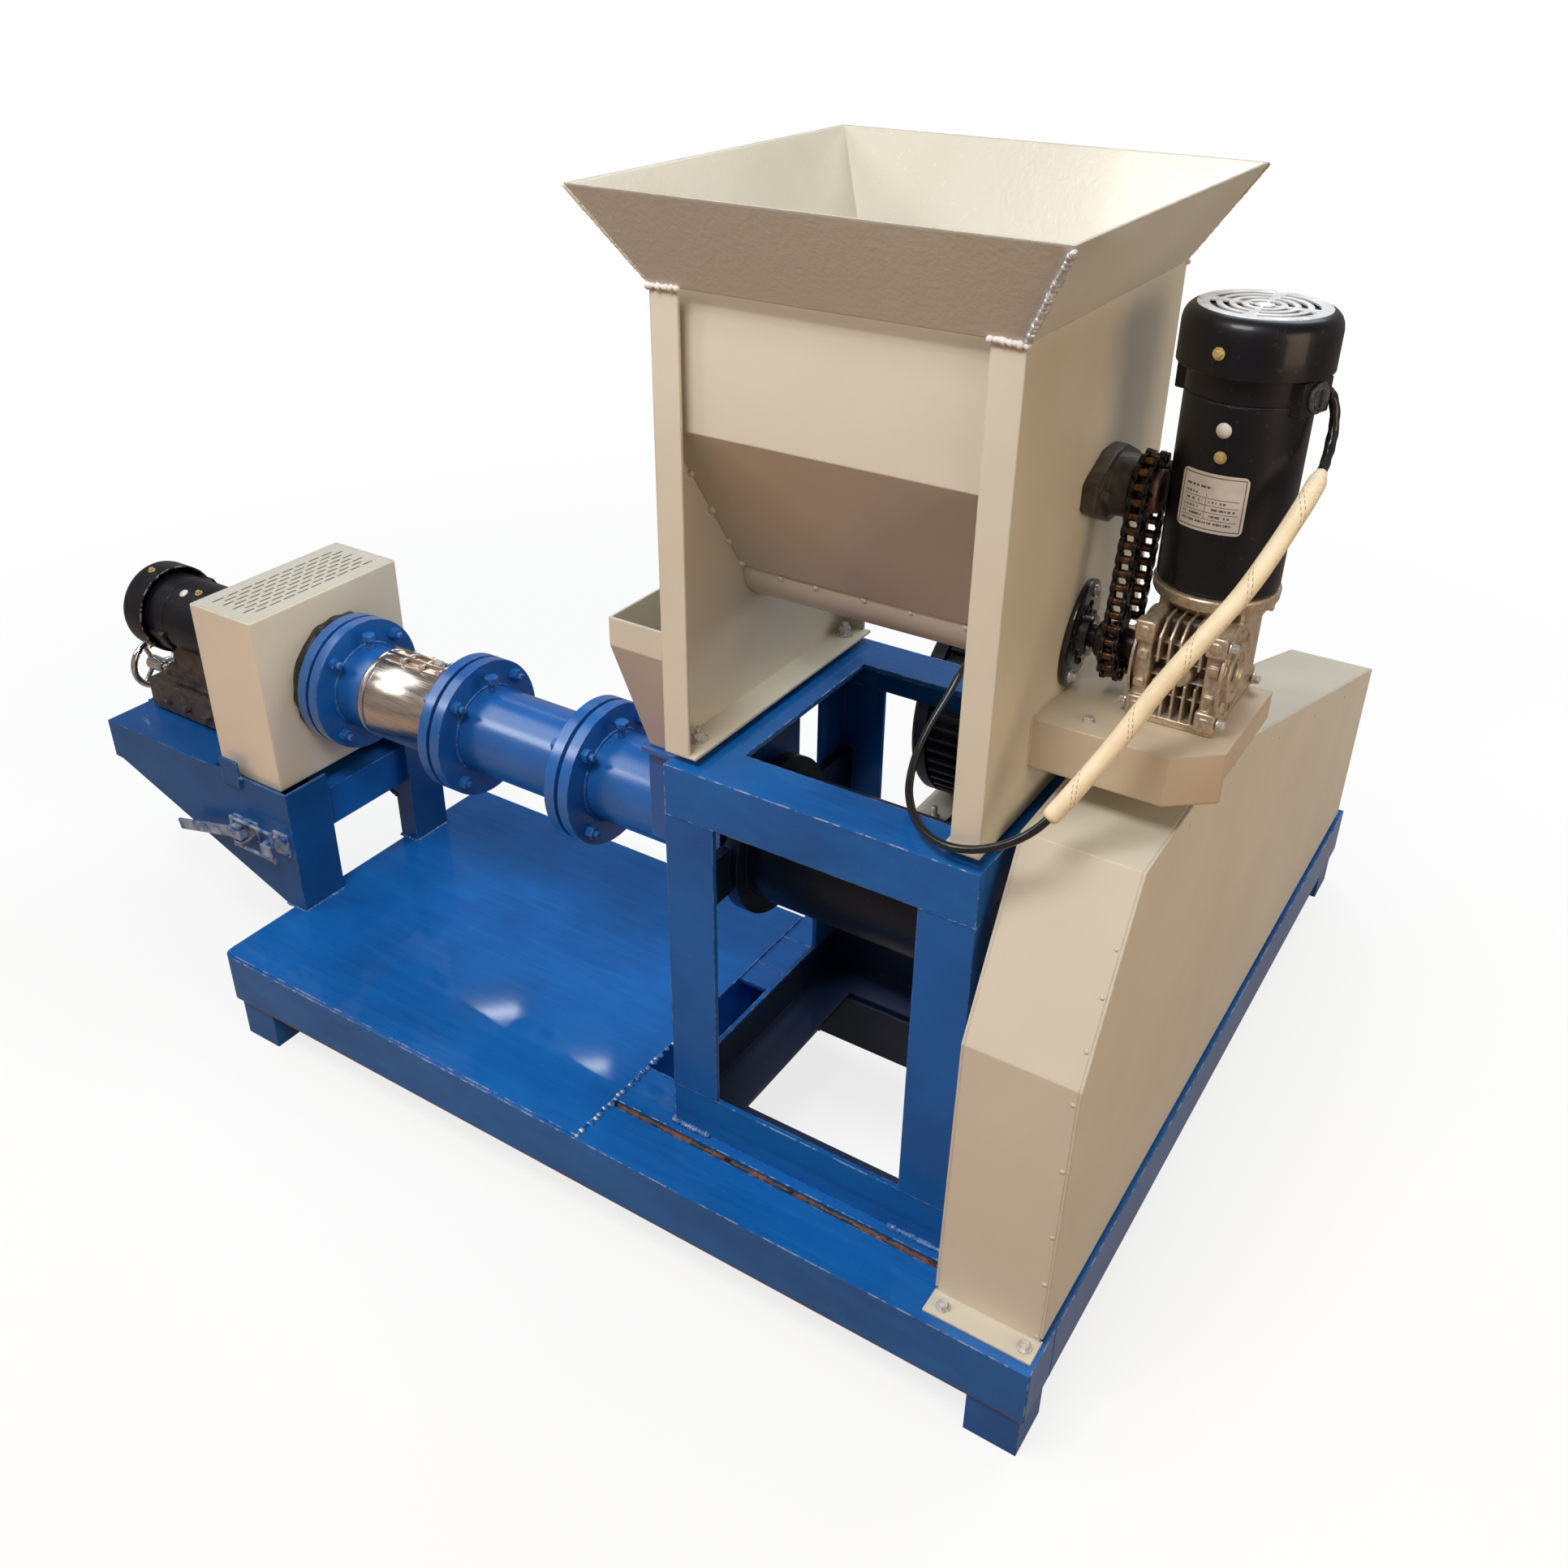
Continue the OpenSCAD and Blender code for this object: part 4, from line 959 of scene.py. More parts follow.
# a round cap with concentric arc slots, made as a polar grid with cells left out
def grilleTree():
    tree, given = newTree("arc grille", [("Radius", "Float", 0.058), ("Rings", "Int", 4), ("Bars", "Int", 4),
                          ("Thickness", "Float", 0.002), ("Material", "Material", None)])
    steps = plus(tree, times(tree, given["Rings"], 2.0), 3.0)
    grid = addNode(tree, "GeometryNodeMeshGrid", {"Size X": 1.0, "Size Y": 1.0, "Vertices X": steps,
                   "Vertices Y": 97})
    place = addNode(tree, "ShaderNodeSeparateXYZ",
                    {"Vector": addNode(tree, "GeometryNodeInputPosition").outputs[0]})
    outward = plus(tree, place.outputs["X"], 0.5)
    around = plus(tree, place.outputs["Y"], 0.5)
    band = maths(tree, "FLOOR", times(tree, outward, minus(tree, steps, 1.0)))
    isSlot = maths(tree, "COMPARE", maths(tree, "MODULO", band, 2.0), 1.0)
    inside = maths(tree, "LESS_THAN", outward, 0.93)
    wave = maths(tree, "FRACT", plus(tree, times(tree, around, given["Bars"]), 0.5))
    offBar = maths(tree, "GREATER_THAN", maths(tree, "ABSOLUTE", minus(tree, wave, 0.5)), 0.085)
    hole = times(tree, times(tree, isSlot, inside), offBar)
    cut = addNode(tree, "GeometryNodeDeleteGeometry", {"Geometry": grid.outputs["Mesh"], "Selection": hole},
                  domain="FACE")
    reach = times(tree, plus(tree, times(tree, outward, 0.95), 0.05), given["Radius"])
    angle = times(tree, around, 2 * math.pi)
    polar = vector(tree, times(tree, reach, maths(tree, "COSINE", angle)),
                   times(tree, reach, maths(tree, "SINE", angle)))
    polarSheet = addNode(tree, "GeometryNodeSetPosition", {"Geometry": cut.outputs[0], "Position": polar})
    hub = addNode(tree, "GeometryNodeMeshCircle",
                  {"Vertices": 96, "Radius": times(tree, given["Radius"], 0.05)}, fill_type="NGON")
    sheet = addNode(tree, "GeometryNodeMergeByDistance",
                    {"Geometry": joined(tree, [polarSheet.outputs[0], hub.outputs[0]]), "Distance": 0.00002})
    deep = addNode(tree, "GeometryNodeExtrudeMesh", {"Mesh": sheet.outputs[0], "Offset": vector(tree, z=1.0),
                   "Offset Scale": given["Thickness"], "Individual": False})
    back = addNode(tree, "GeometryNodeFlipFaces", {"Mesh": sheet.outputs[0]})
    placed = addNode(tree, "GeometryNodeInstanceOnPoints", {"Points": given["Geometry"],
                     "Instance": joined(tree, [deep.outputs[0], back.outputs[0]]),
                     "Rotation": facingRotation(tree)})
    sendOut(tree, placed.outputs[0], given["Material"])
    return tree


# from tree to piece

def pointMesh(points, facing):
    mesh = bpy.data.meshes.new("points")
    mesh.from_pydata([tuple(at(*p)) for p in points], [], [])
    layer = mesh.attributes.new("facing", "FLOAT_VECTOR", "POINT")
    for i, way in enumerate(facing if isinstance(facing, list) else [facing] * len(points)):
        layer.data[i].vector = way
    return mesh


def pathMesh(paths, closed=False):
    points, edges = [], []
    for path in paths:
        first = len(points)
        points += [tuple(at(*p)) for p in path]
        edges += [(first + i, first + i + 1) for i in range(len(path) - 1)]
        if closed:
            edges.append((len(points) - 1, first))
    mesh = bpy.data.meshes.new("paths")
    mesh.from_pydata(points, edges, [])
    return mesh


# only the materials that faces use, in the order they were set
def keepUsedMaterials(mesh):
    used = sorted({face.material_index for face in mesh.polygons})
    kept = [mesh.materials[i] for i in used]
    indices = [used.index(face.material_index) for face in mesh.polygons]
    mesh.materials.clear()
    for material in kept:
        mesh.materials.append(material)
    mesh.polygons.foreach_set("material_index", indices)


def grown(name, base, tree, values, place=None, angle=0, **settings):
    carrier = bpy.data.objects.new(name + "Carrier", base)
    scene.collection.objects.link(carrier)
    modifier = carrier.modifiers.new("grow", "NODES")
    modifier.node_group = tree
    for item in tree.interface.items_tree:
        if item.in_out == "INPUT" and item.name in values:
            modifier[item.identifier] = values[item.name]
    carrier.update_tag()
    depsgraph = bpy.context.evaluated_depsgraph_get()
    mesh = bpy.data.meshes.new_from_object(carrier.evaluated_get(depsgraph))
    carrier.modifiers.clear()
    bpy.data.objects.remove(carrier)
    keepUsedMaterials(mesh)
    if place:
        mesh.transform(place)
    return newPiece(name, mesh, angle=angle, **settings)


screws = screwTree()
domes = domeTree()
beads = beadTree()
print("node trees")


# hexagon screws at points, facing one way or a list of ways; width across the flats, height, washer radius
def hexSet(name, points, facing, width, height, washer, material=zincSteel, body="machine", washerHeight=1.4):
    values = {"Head Width": width / 1000, "Head Height": height / 1000, "Washer Radius": washer / 1000,
              "Washer Height": washerHeight / 1000, "Material": material}
    return grown(name, pointMesh(points, facing), screws, values, body=body)


# domes at points; spread is how much smaller the smallest is
def domeSet(name, points, facing, radius, rise, material, spread=0.0, seed=5):
    values = {"Radius": radius / 1000, "Rise": rise, "Spread": spread, "Seed": seed, "Material": material}
    return grown(name, pointMesh(points, facing), domes, values)


def beadSet(name, paths, width, height, material, step=1.8, uneven=0.35, closed=False):
    values = {"Width": width / 1000, "Height": height / 1000, "Step": step / 1000, "Uneven": uneven,
              "Seed": 7, "Material": material}
    return grown(name, pathMesh(paths, closed), beads, values)


# feed chain and sprockets

drive = {"chainX": -103.5, "feed": (283, 659), "stir": (307, 802), "pitchRadius": 28.5, "links": 36,
         "teeth": 14, "root": 24.0, "tip": 31.2, "thick": 6.6, "pitch": 13.03, "plateRadius": 6.6,
         "waist": 8.4, "innerWidth": 8.6, "plate": 1.9, "roller": 4.0}


def chainPath():
    (feedY, feedZ), (stirY, stirZ) = drive["feed"], drive["stir"]
    lean = math.atan2(stirZ - feedZ, stirY - feedY)
    path = []
    for middle, start in ((drive["stir"], lean - math.pi / 2), (drive["feed"], lean + math.pi / 2)):
        path += [onCircle(drive["chainX"], middle, drive["pitchRadius"], start + math.pi * i / 32)
                 for i in range(33)]
    return path


def addToothed(bm, x, middle, turn):
    root, tip = drive["root"], drive["tip"]
    tooth = ((-0.34, root), (-0.20, root + 1.2), (-0.09, tip), (0.09, tip), (0.20, root + 1.2), (0.34, root))
    outline = [(reach, turn + 2 * math.pi * (i + part) / drive["teeth"])
               for i in range(drive["teeth"]) for part, reach in tooth]
    sides = []
    for side, shrink in ((-0.5, 1.2), (-0.32, 0), (0.32, 0), (0.5, 1.2)):
        ring = [onCircle(x + side * drive["thick"], middle, reach - (shrink if reach == tip else 0), angle)
                for reach, angle in outline]
        sides.append([bm.verts.new(at(*p)) for p in ring])
    skin(bm, sides)
    bm.faces.new(sides[0])
    bm.faces.new(sides[-1])


def makeSprockets():
    bm = bmesh.new()
    x, stir, feed = drive["chainX"], drive["stir"], drive["feed"]
    addToothed(bm, x, stir, 0.1)
    addToothed(bm, x, feed, 0.3)
    addLathe(bm, (-142, *stir), (1, 0, 0), [(0, 0), (0, 10.4), (50, 10.4), (51, 9.4), (51, 0)], 32)
    addLathe(bm, (-142, *feed), (1, 0, 0), [(0, 0), (0, 10.4), (64, 10.4), (64, 0)], 32)
    addLathe(bm, (x - 20, *feed), (1, 0, 0), [(0, 0), (0, 16.4), (1.6, 18), (17, 18), (17, 0)], 40)
    addLathe(bm, (x + 3, *feed), (1, 0, 0), [(0, 0), (0, 15), (14, 15), (15, 14), (15, 0)], 40)
    bmesh.ops.recalc_face_normals(bm, faces=bm.faces)
    newPiece("feedSprockets", bm, chainSteel, replaces=["chain_sprockets"])
    # the upper hub has a grub screw hole facing the front, drawn as a black disc: painted shade of the hole
    turned("upperHub", hubSteel, [(x + 3, *stir)], (1, 0, 0),
           [(0, 0), (0, 20), (8, 20), (9.2, 18.8), (9.2, 0)], 48)
    turned("hubScrewHoleShade", blackRubber, [(x + 7.5, stir[0] - 19.4, stir[1] + 2)], (0, -1, 0),
           [(0, 0), (0, 2.6), (0.8, 2.4), (0.8, 0)], 20)


linkSizes = {"Pitch": "pitch", "Plate Radius": "plateRadius", "Waist": "waist", "Inner Width": "innerWidth",
             "Plate": "plate", "Roller Radius": "roller"}
grown("feedChain", pathMesh([chainPath()], closed=True), chainTree(),
      {"Links": drive["links"], **{socket: drive[key] / 1000 for socket, key in linkSizes.items()},
       "Material": chainSteel, "Roller Material": rollerSteel}, angle=30, replaces=["roller_chain"])
makeSprockets()
print("feed chain")


# agitator bearing and shaft plate

plate = {"lean": 58, "screwReach": 42, "lumps": 60, "lumpReach": (18, 30)}


def makeBearing():
    y, z = drive["stir"]
    bm = roundedCopy("agitator_bearing", 1.6)
    addLathe(bm, (-115, y, z), (1, 0, 0),
             [(0, 22), (3.5, 22), (3.5, 17.5), (6.5, 17.5), (6.5, 10.6), (0, 10.6)], 40, closed=True)
    newPiece("flangedBearing", bm, darkIron, replaces=["agitator_bearing"])
    turned("bearingRing", hubSteel, [(-113, y, z)], (1, 0, 0),
           [(0, 10.5), (0, 12.4), (6, 12.4), (6.4, 10.5)], 40, closed=True)
    hexSet("bearingScrews", [(-132, y - 43, z), (-132, y + 43, z)], (1, 0, 0), 9, 5, 6, darkIron)
    newPiece("greasyPlate", roundedCopy("shaft_plate", 1.0), greasyBlack, replaces=["shaft_plate"])
    lean = math.radians(plate["lean"])
    hexSet("plateScrews", [onCircle(-140, drive["feed"], s * plate["screwReach"], lean) for s in (-1, 1)],
           (1, 0, 0), 9, 4.5, 6.5)
    dice = random.Random(12)
    grease = []
    for i in range(plate["lumps"]):
        turn, reach = dice.uniform(0, 2 * math.pi), dice.uniform(*plate["lumpReach"])
        grease.append(onCircle(-140, drive["feed"], reach, turn))
    domeSet("plateGrease", grease, (1, 0, 0), 4.6, 0.55, chainSteel, 0.7)


makeBearing()
print("bearing and shaft plate")


# worm gearbox

gearbox = {"axis": (-35, 324), "fins": (-56, -46.5, -37, -27.5, -18), "flangeRibs": 16, "neckRibs": 4}


# a straight prism along X with the given corners in Y and Z
def addPrism(bm, low, high, corners, soft=0.7):
    ends = [[bm.verts.new(at(x, y, z)) for y, z in corners] for x in (low, high)]
    faces = [bm.faces.new(ends[0]), bm.faces.new(ends[1])]
    for i in range(len(corners)):
        j = (i + 1) % len(corners)
        faces.append(bm.faces.new((ends[0][i], ends[0][j], ends[1][j], ends[1][i])))
    bmesh.ops.recalc_face_normals(bm, faces=faces)
    roundEdges(bm, list({e for face in faces for e in face.edges}), soft, 1)


def makeGearbox():
    bm = bmesh.new()
    addBlock(bm, (-75, 2), (244, 366), (608.2, 616), 2)
    for low, high in ((-77, -62), (-13, 3)):
        addBlock(bm, (low, high), (247, 362), (612, 704), 3.5, 3)
        # lugs at the corners, with the casting's pockets between them
        for y in ((241.5, 256), (352, 366)):
            for z in ((612, 632), (686, 706.5)):
                addBlock(bm, (low - 1.2, high + 1.2), y, z, 2.5, 3)
                addBlock(bm, (low + 4, high - 4), (y[0] - 1.2, y[1] + 1.2), (z[0] + 5, z[1] - 5), 1.2)
        for z in ((641, 648), (668, 677)):
            addBlock(bm, (low + 2.5, high - 2.5), (243.5, 250), z, 1.2)
    # fins stand in front and behind, parted by a round boss
    for x in gearbox["fins"]:
        for low, high, slope in ((668, 706, 14), (613, 651, 0)):
            for near, top, inner in ((245.5, 262, 290), (363, 350, 320)):
                addPrism(bm, x - 1.2, x + 1.2, [(near, low), (near, high - slope), (top, high), (inner, high),
                                                (inner, low)])
    addLathe(bm, (-37, 268, 659.5), (0, -1, 0),
             [(0, 0), (0, 14), (17, 13), (19, 11.5), (19, 7), (17.5, 6), (17.5, 0)], 32)
    for z in (634, 651, 668, 684):
        addBlock(bm, (-63, -12), (256, 300), (z - 0.9, z + 0.9), 0.6)
    # output flange: rings, ribs between them and the bore
    y, z = drive["feed"]
    addLathe(bm, (2, y, z), (1, 0, 0),
             [(0, 46), (2.0, 46), (2.6, 45.2), (2.6, 41), (0.6, 40), (0.6, 29.5), (4.4, 28.5), (5.0, 27.8),
              (5.0, 20), (3.2, 19), (3.2, 13.5), (1.8, 12.6), (-14, 12.6), (-14, 0)], 64)
    addLathe(bm, (-76, y, z), (-1, 0, 0),
             [(0, 44), (2.4, 44), (3, 43), (3, 32), (0.5, 31), (0.5, 20), (3.5, 19), (3.5, 0)], 56)
    for i in range(gearbox["flangeRibs"]):
        turn = 2 * math.pi * (i + 0.5) / gearbox["flangeRibs"]
        made = addBox(bm, (2, 4.6), (y - 0.9, y + 0.9), (z + 29, z + 41))
        bmesh.ops.rotate(bm, verts=made, cent=at(3, y, z), matrix=Matrix.Rotation(turn, 3, "X"))
    # neck up to the motor
    ax, ay = gearbox["axis"]
    addLathe(bm, (ax, ay, 700), (0, 0, 1), [(0, 0), (0, 38), (6, 43), (13, 47), (13, 0)], 56)
    for i in range(gearbox["neckRibs"]):
        turn = math.pi / 4 + 2 * math.pi * i / gearbox["neckRibs"]
        made = addBox(bm, (ax + 36, ax + 53), (ay - 2, ay + 2), (697, 714))
        bmesh.ops.rotate(bm, verts=made, cent=at(ax, ay, 700), matrix=Matrix.Rotation(turn, 3, "Z"))
    addLathe(bm, (ax, ay, 713), (0, 0, 1),
             [(0, 0), (0, 50), (1.2, 54.5), (4, 56), (11.5, 56.5), (13, 55.5), (13.4, 52), (13.4, 0)], 72)
    bmesh.ops.recalc_face_normals(bm, faces=bm.faces)
    newPiece("wormGearbox", bm, castAlloy, replaces=["worm_gearbox"], angle=32)
    # the dark core between the fins is painted shade of the deep recess, with grime
    bm = bmesh.new()
    addBlock(bm, (-64, -11), (268, 352), (614, 703), 5, 3)
    newPiece("gearboxCore", bm, grimeAndShadeAlloy)
    corners = [(y, z) for y in (250, 357) for z in (621, 697)]
    hexSet("gearboxBolts", [(x, y, z) for x in (5.2, -79) for y, z in corners],
           [(1, 0, 0)] * 4 + [(-1, 0, 0)] * 4, 8, 5, 5.5)
    hexSet("shelfBolts", [(x, y, 616) for y in (249, 360) for x in (-69, -3)], (0, 0, 1), 10, 5, 8)
    hexSet("spareBolt", [(-100, 214, 608)], (0, 0, 1), 8, 4, 6)
    turned("outputShaft", chainSteel, [(-9, *drive["feed"])], (1, 0, 0),
           [(0, 0), (0, 10.2), (12, 10.2), (12.6, 9.4), (12.6, 0)], 32)


makeGearbox()
print("gearbox")


# the two black motors

motors = {"radius": 54.5, "neck": 48.5, "fan": 65, "slots": 4, "feedAxis": (-35, 324),
          "cutterAxis": (246, 346), "feedBlocks": (-17, 163), "cutterBlocks": (-153, 27),
          "feedScrews": [(-91, 54.5, 855), (-102, 65, 942), (45, 65, 942), (155, 65, 942)],
          "cutterScrews": [(108, 54.5, -1426), (105, 65, -1528), (225, 65, -1528), (345, 65, -1528)],
          "feedSticker": (-92, 54.2, 878), "cutterSticker": (116.5, 54.2, -1451)}
fanOutline = [(0, 62.2), (0, 64.6), (0.4, 65), (33, 65), (38.5, 64), (42.5, 62), (45.6, 59), (47.4, 55.5),
              (47.8, 53.6), (46.4, 53.2), (44, 56), (40, 60), (34, 62.2)]
grille = grilleTree()


# a motor's drum: the seam, the shoulder under the fan cover and the whole length
def bodyOutline(seam, long, whole):
    drum, groove, neck = motors["radius"], motors["radius"] - 1.1, motors["neck"]
    return [(0, 0), (0, 49), (1.2, 52.6), (4, drum), (seam, drum), (seam + 0.5, groove), (seam + 1.9, groove),
            (seam + 2.4, drum), (long - 0.6, drum), (long, 53.8), (long, neck), (whole, neck), (whole, 0)]


# a place on a motor's drum and the way out; the feed motor stands, and the cutter's lies along X
def drumSpot(motor, turn, reach, along):
    c, s = math.cos(math.radians(turn)), math.sin(math.radians(turn))
    a, b = motors[motor + "Axis"]
    if motor == "feed":
        return (a + reach * c, b + reach * s, along), (c, s, 0)
    return (along, a + reach * c, b + reach * s), (0, c, s)


# a soft block that stands out from the drum between two reaches
def addBrushBlock(bm, motor, turn, reach, wide, tall, along):
    a, b = motors[motor + "Axis"]
    low, high = reach
    if motor == "feed":
        centre, way = (a, b, along), "Z"
        made = addBox(bm, (a + low, a + high), (b - wide, b + wide), (along - tall, along + tall))
    else:
        centre, way = (along, a, b), "X"
        made = addBox(bm, (along - tall, along + tall), (a + low, a + high), (b - wide, b + wide))
    bmesh.ops.rotate(bm, verts=made, cent=at(*centre), matrix=Matrix.Rotation(math.radians(turn), 3, way))
    roundEdges(bm, list({e for v in made for e in v.link_edges}), 1.8)


def addGrille(name, place, way, radius, rings, material, thickness=1.6, **settings):
    grown(name, pointMesh([place], way), grille,
          {"Radius": radius / 1000, "Rings": rings, "Thickness": thickness / 1000, "Material": material},
          **settings)


# a motor's hexagon screws and its plain round sticker
def addTrim(motor, body="machine"):
    spots = [drumSpot(motor, *spot) for spot in motors[motor + "Screws"]]
    places, ways = [place for place, way in spots], [way for place, way in spots]
    hexSet(motor + "MotorScrews", places, ways, 6.2, 3.2, 5.4, brass, body, 1.0)
    place, way = drumSpot(motor, *motors[motor + "Sticker"])
    disc = [(0, 0), (0, 6.6), (0.5, 6.6), (0.7, 6.2), (0.7, 0)]
    turned(motor + "MotorSticker", whiteSticker, [place], way, disc, 32, body=body)


def makeFeedMotor():
    ax, ay = motors["feedAxis"]
    level = 907
    # round slotted brush caps on two blocks
    cap = [(-1, 0), (-1, 15), (2.2, 15), (3.2, 14), (3.2, 11.8), (2.0, 11.4), (2.0, 10), (3.4, 9.6), (3.4, 0)]
    capSize = 0.9
    bm, caps, slots = bmesh.new(), bmesh.new(), bmesh.new()
    addLathe(bm, (ax, ay, 727), (0, 0, 1), bodyOutline(171.2, 196, 241), 96)
    for turn in motors["feedBlocks"]:
        addBrushBlock(bm, "feed", turn, (40, 61.8), 21, 15, level)
        place, way = drumSpot("feed", turn, 61.8, level)
        addLathe(caps, place, way, [(along, reach * capSize) for along, reach in cap], 40)
        # a black bar across each cap stands for its slot: painted shade, no cut
        made = addBox(slots, (-0.6, 0.6), (-1.4, 1.4), (-7.5, 7.5))
        bmesh.ops.translate(slots, verts=made, vec=-at(0, 0, 0))
        bmesh.ops.rotate(slots, verts=made, matrix=Matrix.Rotation(math.radians(turn), 3, "Z"))
        bmesh.ops.translate(slots, verts=made, vec=at(*drumSpot("feed", turn, 65.2, level)[0]))
    newPiece("feedMotorBody", bm, blackPaint, replaces=["feed_motor"], angle=30)
    newPiece("feedBrushCaps", caps, greyPlasticRimHighlight)
    newPiece("brushCapSlotShade", slots, blackRubber)
    turned("feedFanCover", blackPaint, [(ax, ay, 923)], (0, 0, 1), fanOutline, 96, closed=True,
           replaces=["feed_fan_cover"], angle=30)
    addGrille("feedFanGrille", (ax, ay, 969.2), (0, 0, 1), 54.5, motors["slots"], brightCap)
    # a thin light line where the end shield meets the body
    turned("feedMotorSeam", grimeAndShadeAlloy, [(ax, ay, 898.6)], (0, 0, 1),
           [(0, 53.2), (0, 54.2), (0.5, 54.2), (0.5, 53.2)], 96, closed=True)
    addTrim("feed")


label = {"from": -126, "to": -62, "low": 788, "high": 840, "corner": 5.5, "reach": 54.9, "thick": 0.6,
         "columns": 40, "rows": 30}


# a thin plate with round corners, bent round the drum
def makePlateLabel():
    ax, ay = motors["feedAxis"]
    columns, rows, reach, r = label["columns"], label["rows"], label["reach"], label["corner"]
    bm = bmesh.new()
    uv = bm.loops.layers.uv.new("run")
    arc = math.radians(label["to"] - label["from"]) * reach
    tall = label["high"] - label["low"]

    def place(column, row):
        u, v = arc * column / columns, tall * row / rows
        cu, cv = min(max(u, r), arc - r), min(max(v, r), tall - r)
        off = Vector((u - cu, v - cv))
        if off.length > r:
            off = off.normalized() * r
        u, v = cu + off.x, cv + off.y
        turn = math.radians(label["from"]) + u / reach
        point = at(ax + reach * math.cos(turn), ay + reach * math.sin(turn), label["low"] + v)
        return point, (u / arc, v / tall)

    grid = {}
    for column in range(columns + 1):
        for row in range(rows + 1):
            point, spot = place(column, row)
            grid[column, row] = (bm.verts.new(point), spot)
    for column in range(columns):
        for row in range(rows):
            cells = [grid[column, row], grid[column + 1, row], grid[column + 1, row + 1],
                     grid[column, row + 1]]
            face = bm.faces.new([vert for vert, spot in cells])
            for loop, (vert, spot) in zip(face.loops, cells):
                loop[uv].uv = spot
    made = bmesh.ops.extrude_face_region(bm, geom=bm.faces[:])
    middle = at(ax, ay, 0)
    for vert in made["geom"]:
        if isinstance(vert, bmesh.types.BMVert):
            flat = Vector((vert.co.x - middle.x, vert.co.y - middle.y, 0))
            vert.co -= flat.normalized() * label["thick"] / 1000
    bmesh.ops.remove_doubles(bm, verts=bm.verts, dist=1e-6)
    bmesh.ops.recalc_face_normals(bm, faces=bm.faces)
    newPiece("ratingPlate", bm, ratingPlate)


def makeCutterMotor():
    ay, az = motors["cutterAxis"]
    body = "cutter_carriage"
    bm = bmesh.new()
    addLathe(bm, (-1327, ay, az), (-1, 0, 0), bodyOutline(144, 185, 226), 96)
    addLathe(bm, (-1329, ay, az), (1, 0, 0),
             [(0, 0), (0, 30), (5, 29), (6, 24), (6, 9.5), (88, 9.5), (89, 8.5), (89, 0)], 48)
    for turn in motors["cutterBlocks"]:
        addBrushBlock(bm, "cutter", turn, (48, 58), 17, 16, -1489)
    bmesh.ops.recalc_face_normals(bm, faces=bm.faces)
    newPiece("cutterMotorBody", bm, blackPaint, body, ["cutter_motor"], 30)
    turned("cutterFanCover", blackPaint, [(-1508, ay, az)], (-1, 0, 0), fanOutline, 96, closed=True,
           body=body, replaces=["cutter_fan_cover"], angle=30)
    addGrille("cutterFanGrille", (-1554.2, ay, az), (-1, 0, 0), 54.5, motors["slots"], blackPaint, body=body)
    turned("chippedRim", chippedRim, [(-1508.6, ay, az)], (1, 0, 0),
           [(0, 64.4), (0, 65.1), (0.6, 65.15), (1.0, 64.6), (1.0, 62.4), (0, 62.4)], 160,
           closed=True, body=body)
    addTrim("cutter", body)


# a plate with a printed frame and rules, and rows of plain dashes; no lettering
def plateFinish():
    material, tree, shader = newMaterial("rating plate")
    uv = addNode(tree, "ShaderNodeUVMap", uv_map="run")
    split = addNode(tree, "ShaderNodeSeparateXYZ", {"Vector": uv.outputs[0]})
    u, v = split.outputs["X"], split.outputs["Y"]
    outer = times(tree, strip(tree, u, 0.035, 0.965), strip(tree, v, 0.045, 0.955))
    inner = times(tree, strip(tree, u, 0.050, 0.950), strip(tree, v, 0.064, 0.936))
    ink = minus(tree, outer, inner)
    for line in (0.22, 0.34, 0.46, 0.58):
        rule = times(tree, strip(tree, v, line - 0.006, line + 0.006), strip(tree, u, 0.10, 0.90))
        ink = maths(tree, "MAXIMUM", ink, rule)
    ink = maths(tree, "MAXIMUM", ink, times(tree, strip(tree, u, 0.436, 0.444), strip(tree, v, 0.22, 0.66)))
    for row, (level, start, end) in enumerate((
            (0.16, 0.10, 0.84), (0.28, 0.10, 0.40), (0.28, 0.48, 0.80), (0.40, 0.10, 0.34),
            (0.40, 0.48, 0.86), (0.52, 0.10, 0.40), (0.52, 0.48, 0.74), (0.64, 0.10, 0.30),
            (0.76, 0.10, 0.52))):
        along = addNode(tree, "ShaderNodeCombineXYZ", {"X": times(tree, u, 34.0), "Y": 3.7 * row})
        dash = maths(tree, "GREATER_THAN", noise(tree, 1, 2, 0.6, along.outputs[0]), 0.47)
        cell = times(tree, strip(tree, v, level - 0.020, level + 0.020), strip(tree, u, start, end))
        ink = maths(tree, "MAXIMUM", ink, times(tree, dash, cell))
    cloud = ranged(tree, noise(tree, 60, 4), 0.3, 0.7)
    colour = mixed(tree, cloud, (0.64, 0.59, 0.55), (0.76, 0.72, 0.68))
    colour = mixed(tree, times(tree, ink, 0.85), colour, (0.03, 0.03, 0.03))
    tree.links.new(colour, shader.inputs["Base Color"])
    shader.inputs["Metallic"].default_value = 0.2
    tree.links.new(ranged(tree, noise(tree, 240, 2), 0.3, 0.7, 0.30, 0.42), shader.inputs["Roughness"])
    bumped(tree, shader, [(noise(tree, 500, 2), 0.08, 0.0004)])
    return material


ratingPlate = plateFinish()
whiteSticker = paintFinish("white sticker", beigeLook, dark=(0.70, 0.66, 0.62), light=(0.80, 0.77, 0.74),
                           wear=0.2)
brightCap = metalFinish("bright cap", dark=(0.70, 0.71, 0.73), light=(0.86, 0.86, 0.87), scale=60,
                        stain=(0.35, 0.35, 0.36), stainScale=40, stains=0.2, metallic=0.35,
                        rough=(0.25, 0.40), bump=0.08)
chippedRim = paintFinish("chipped rim", blackLook, specks=0.0, edge=0.002, wear=1.0, chipScale=70,
                         bare=(0.85, 0.83, 0.80))
makeFeedMotor()
makePlateLabel()
makeCutterMotor()
print("motors")


# cutter cover with its slotted top

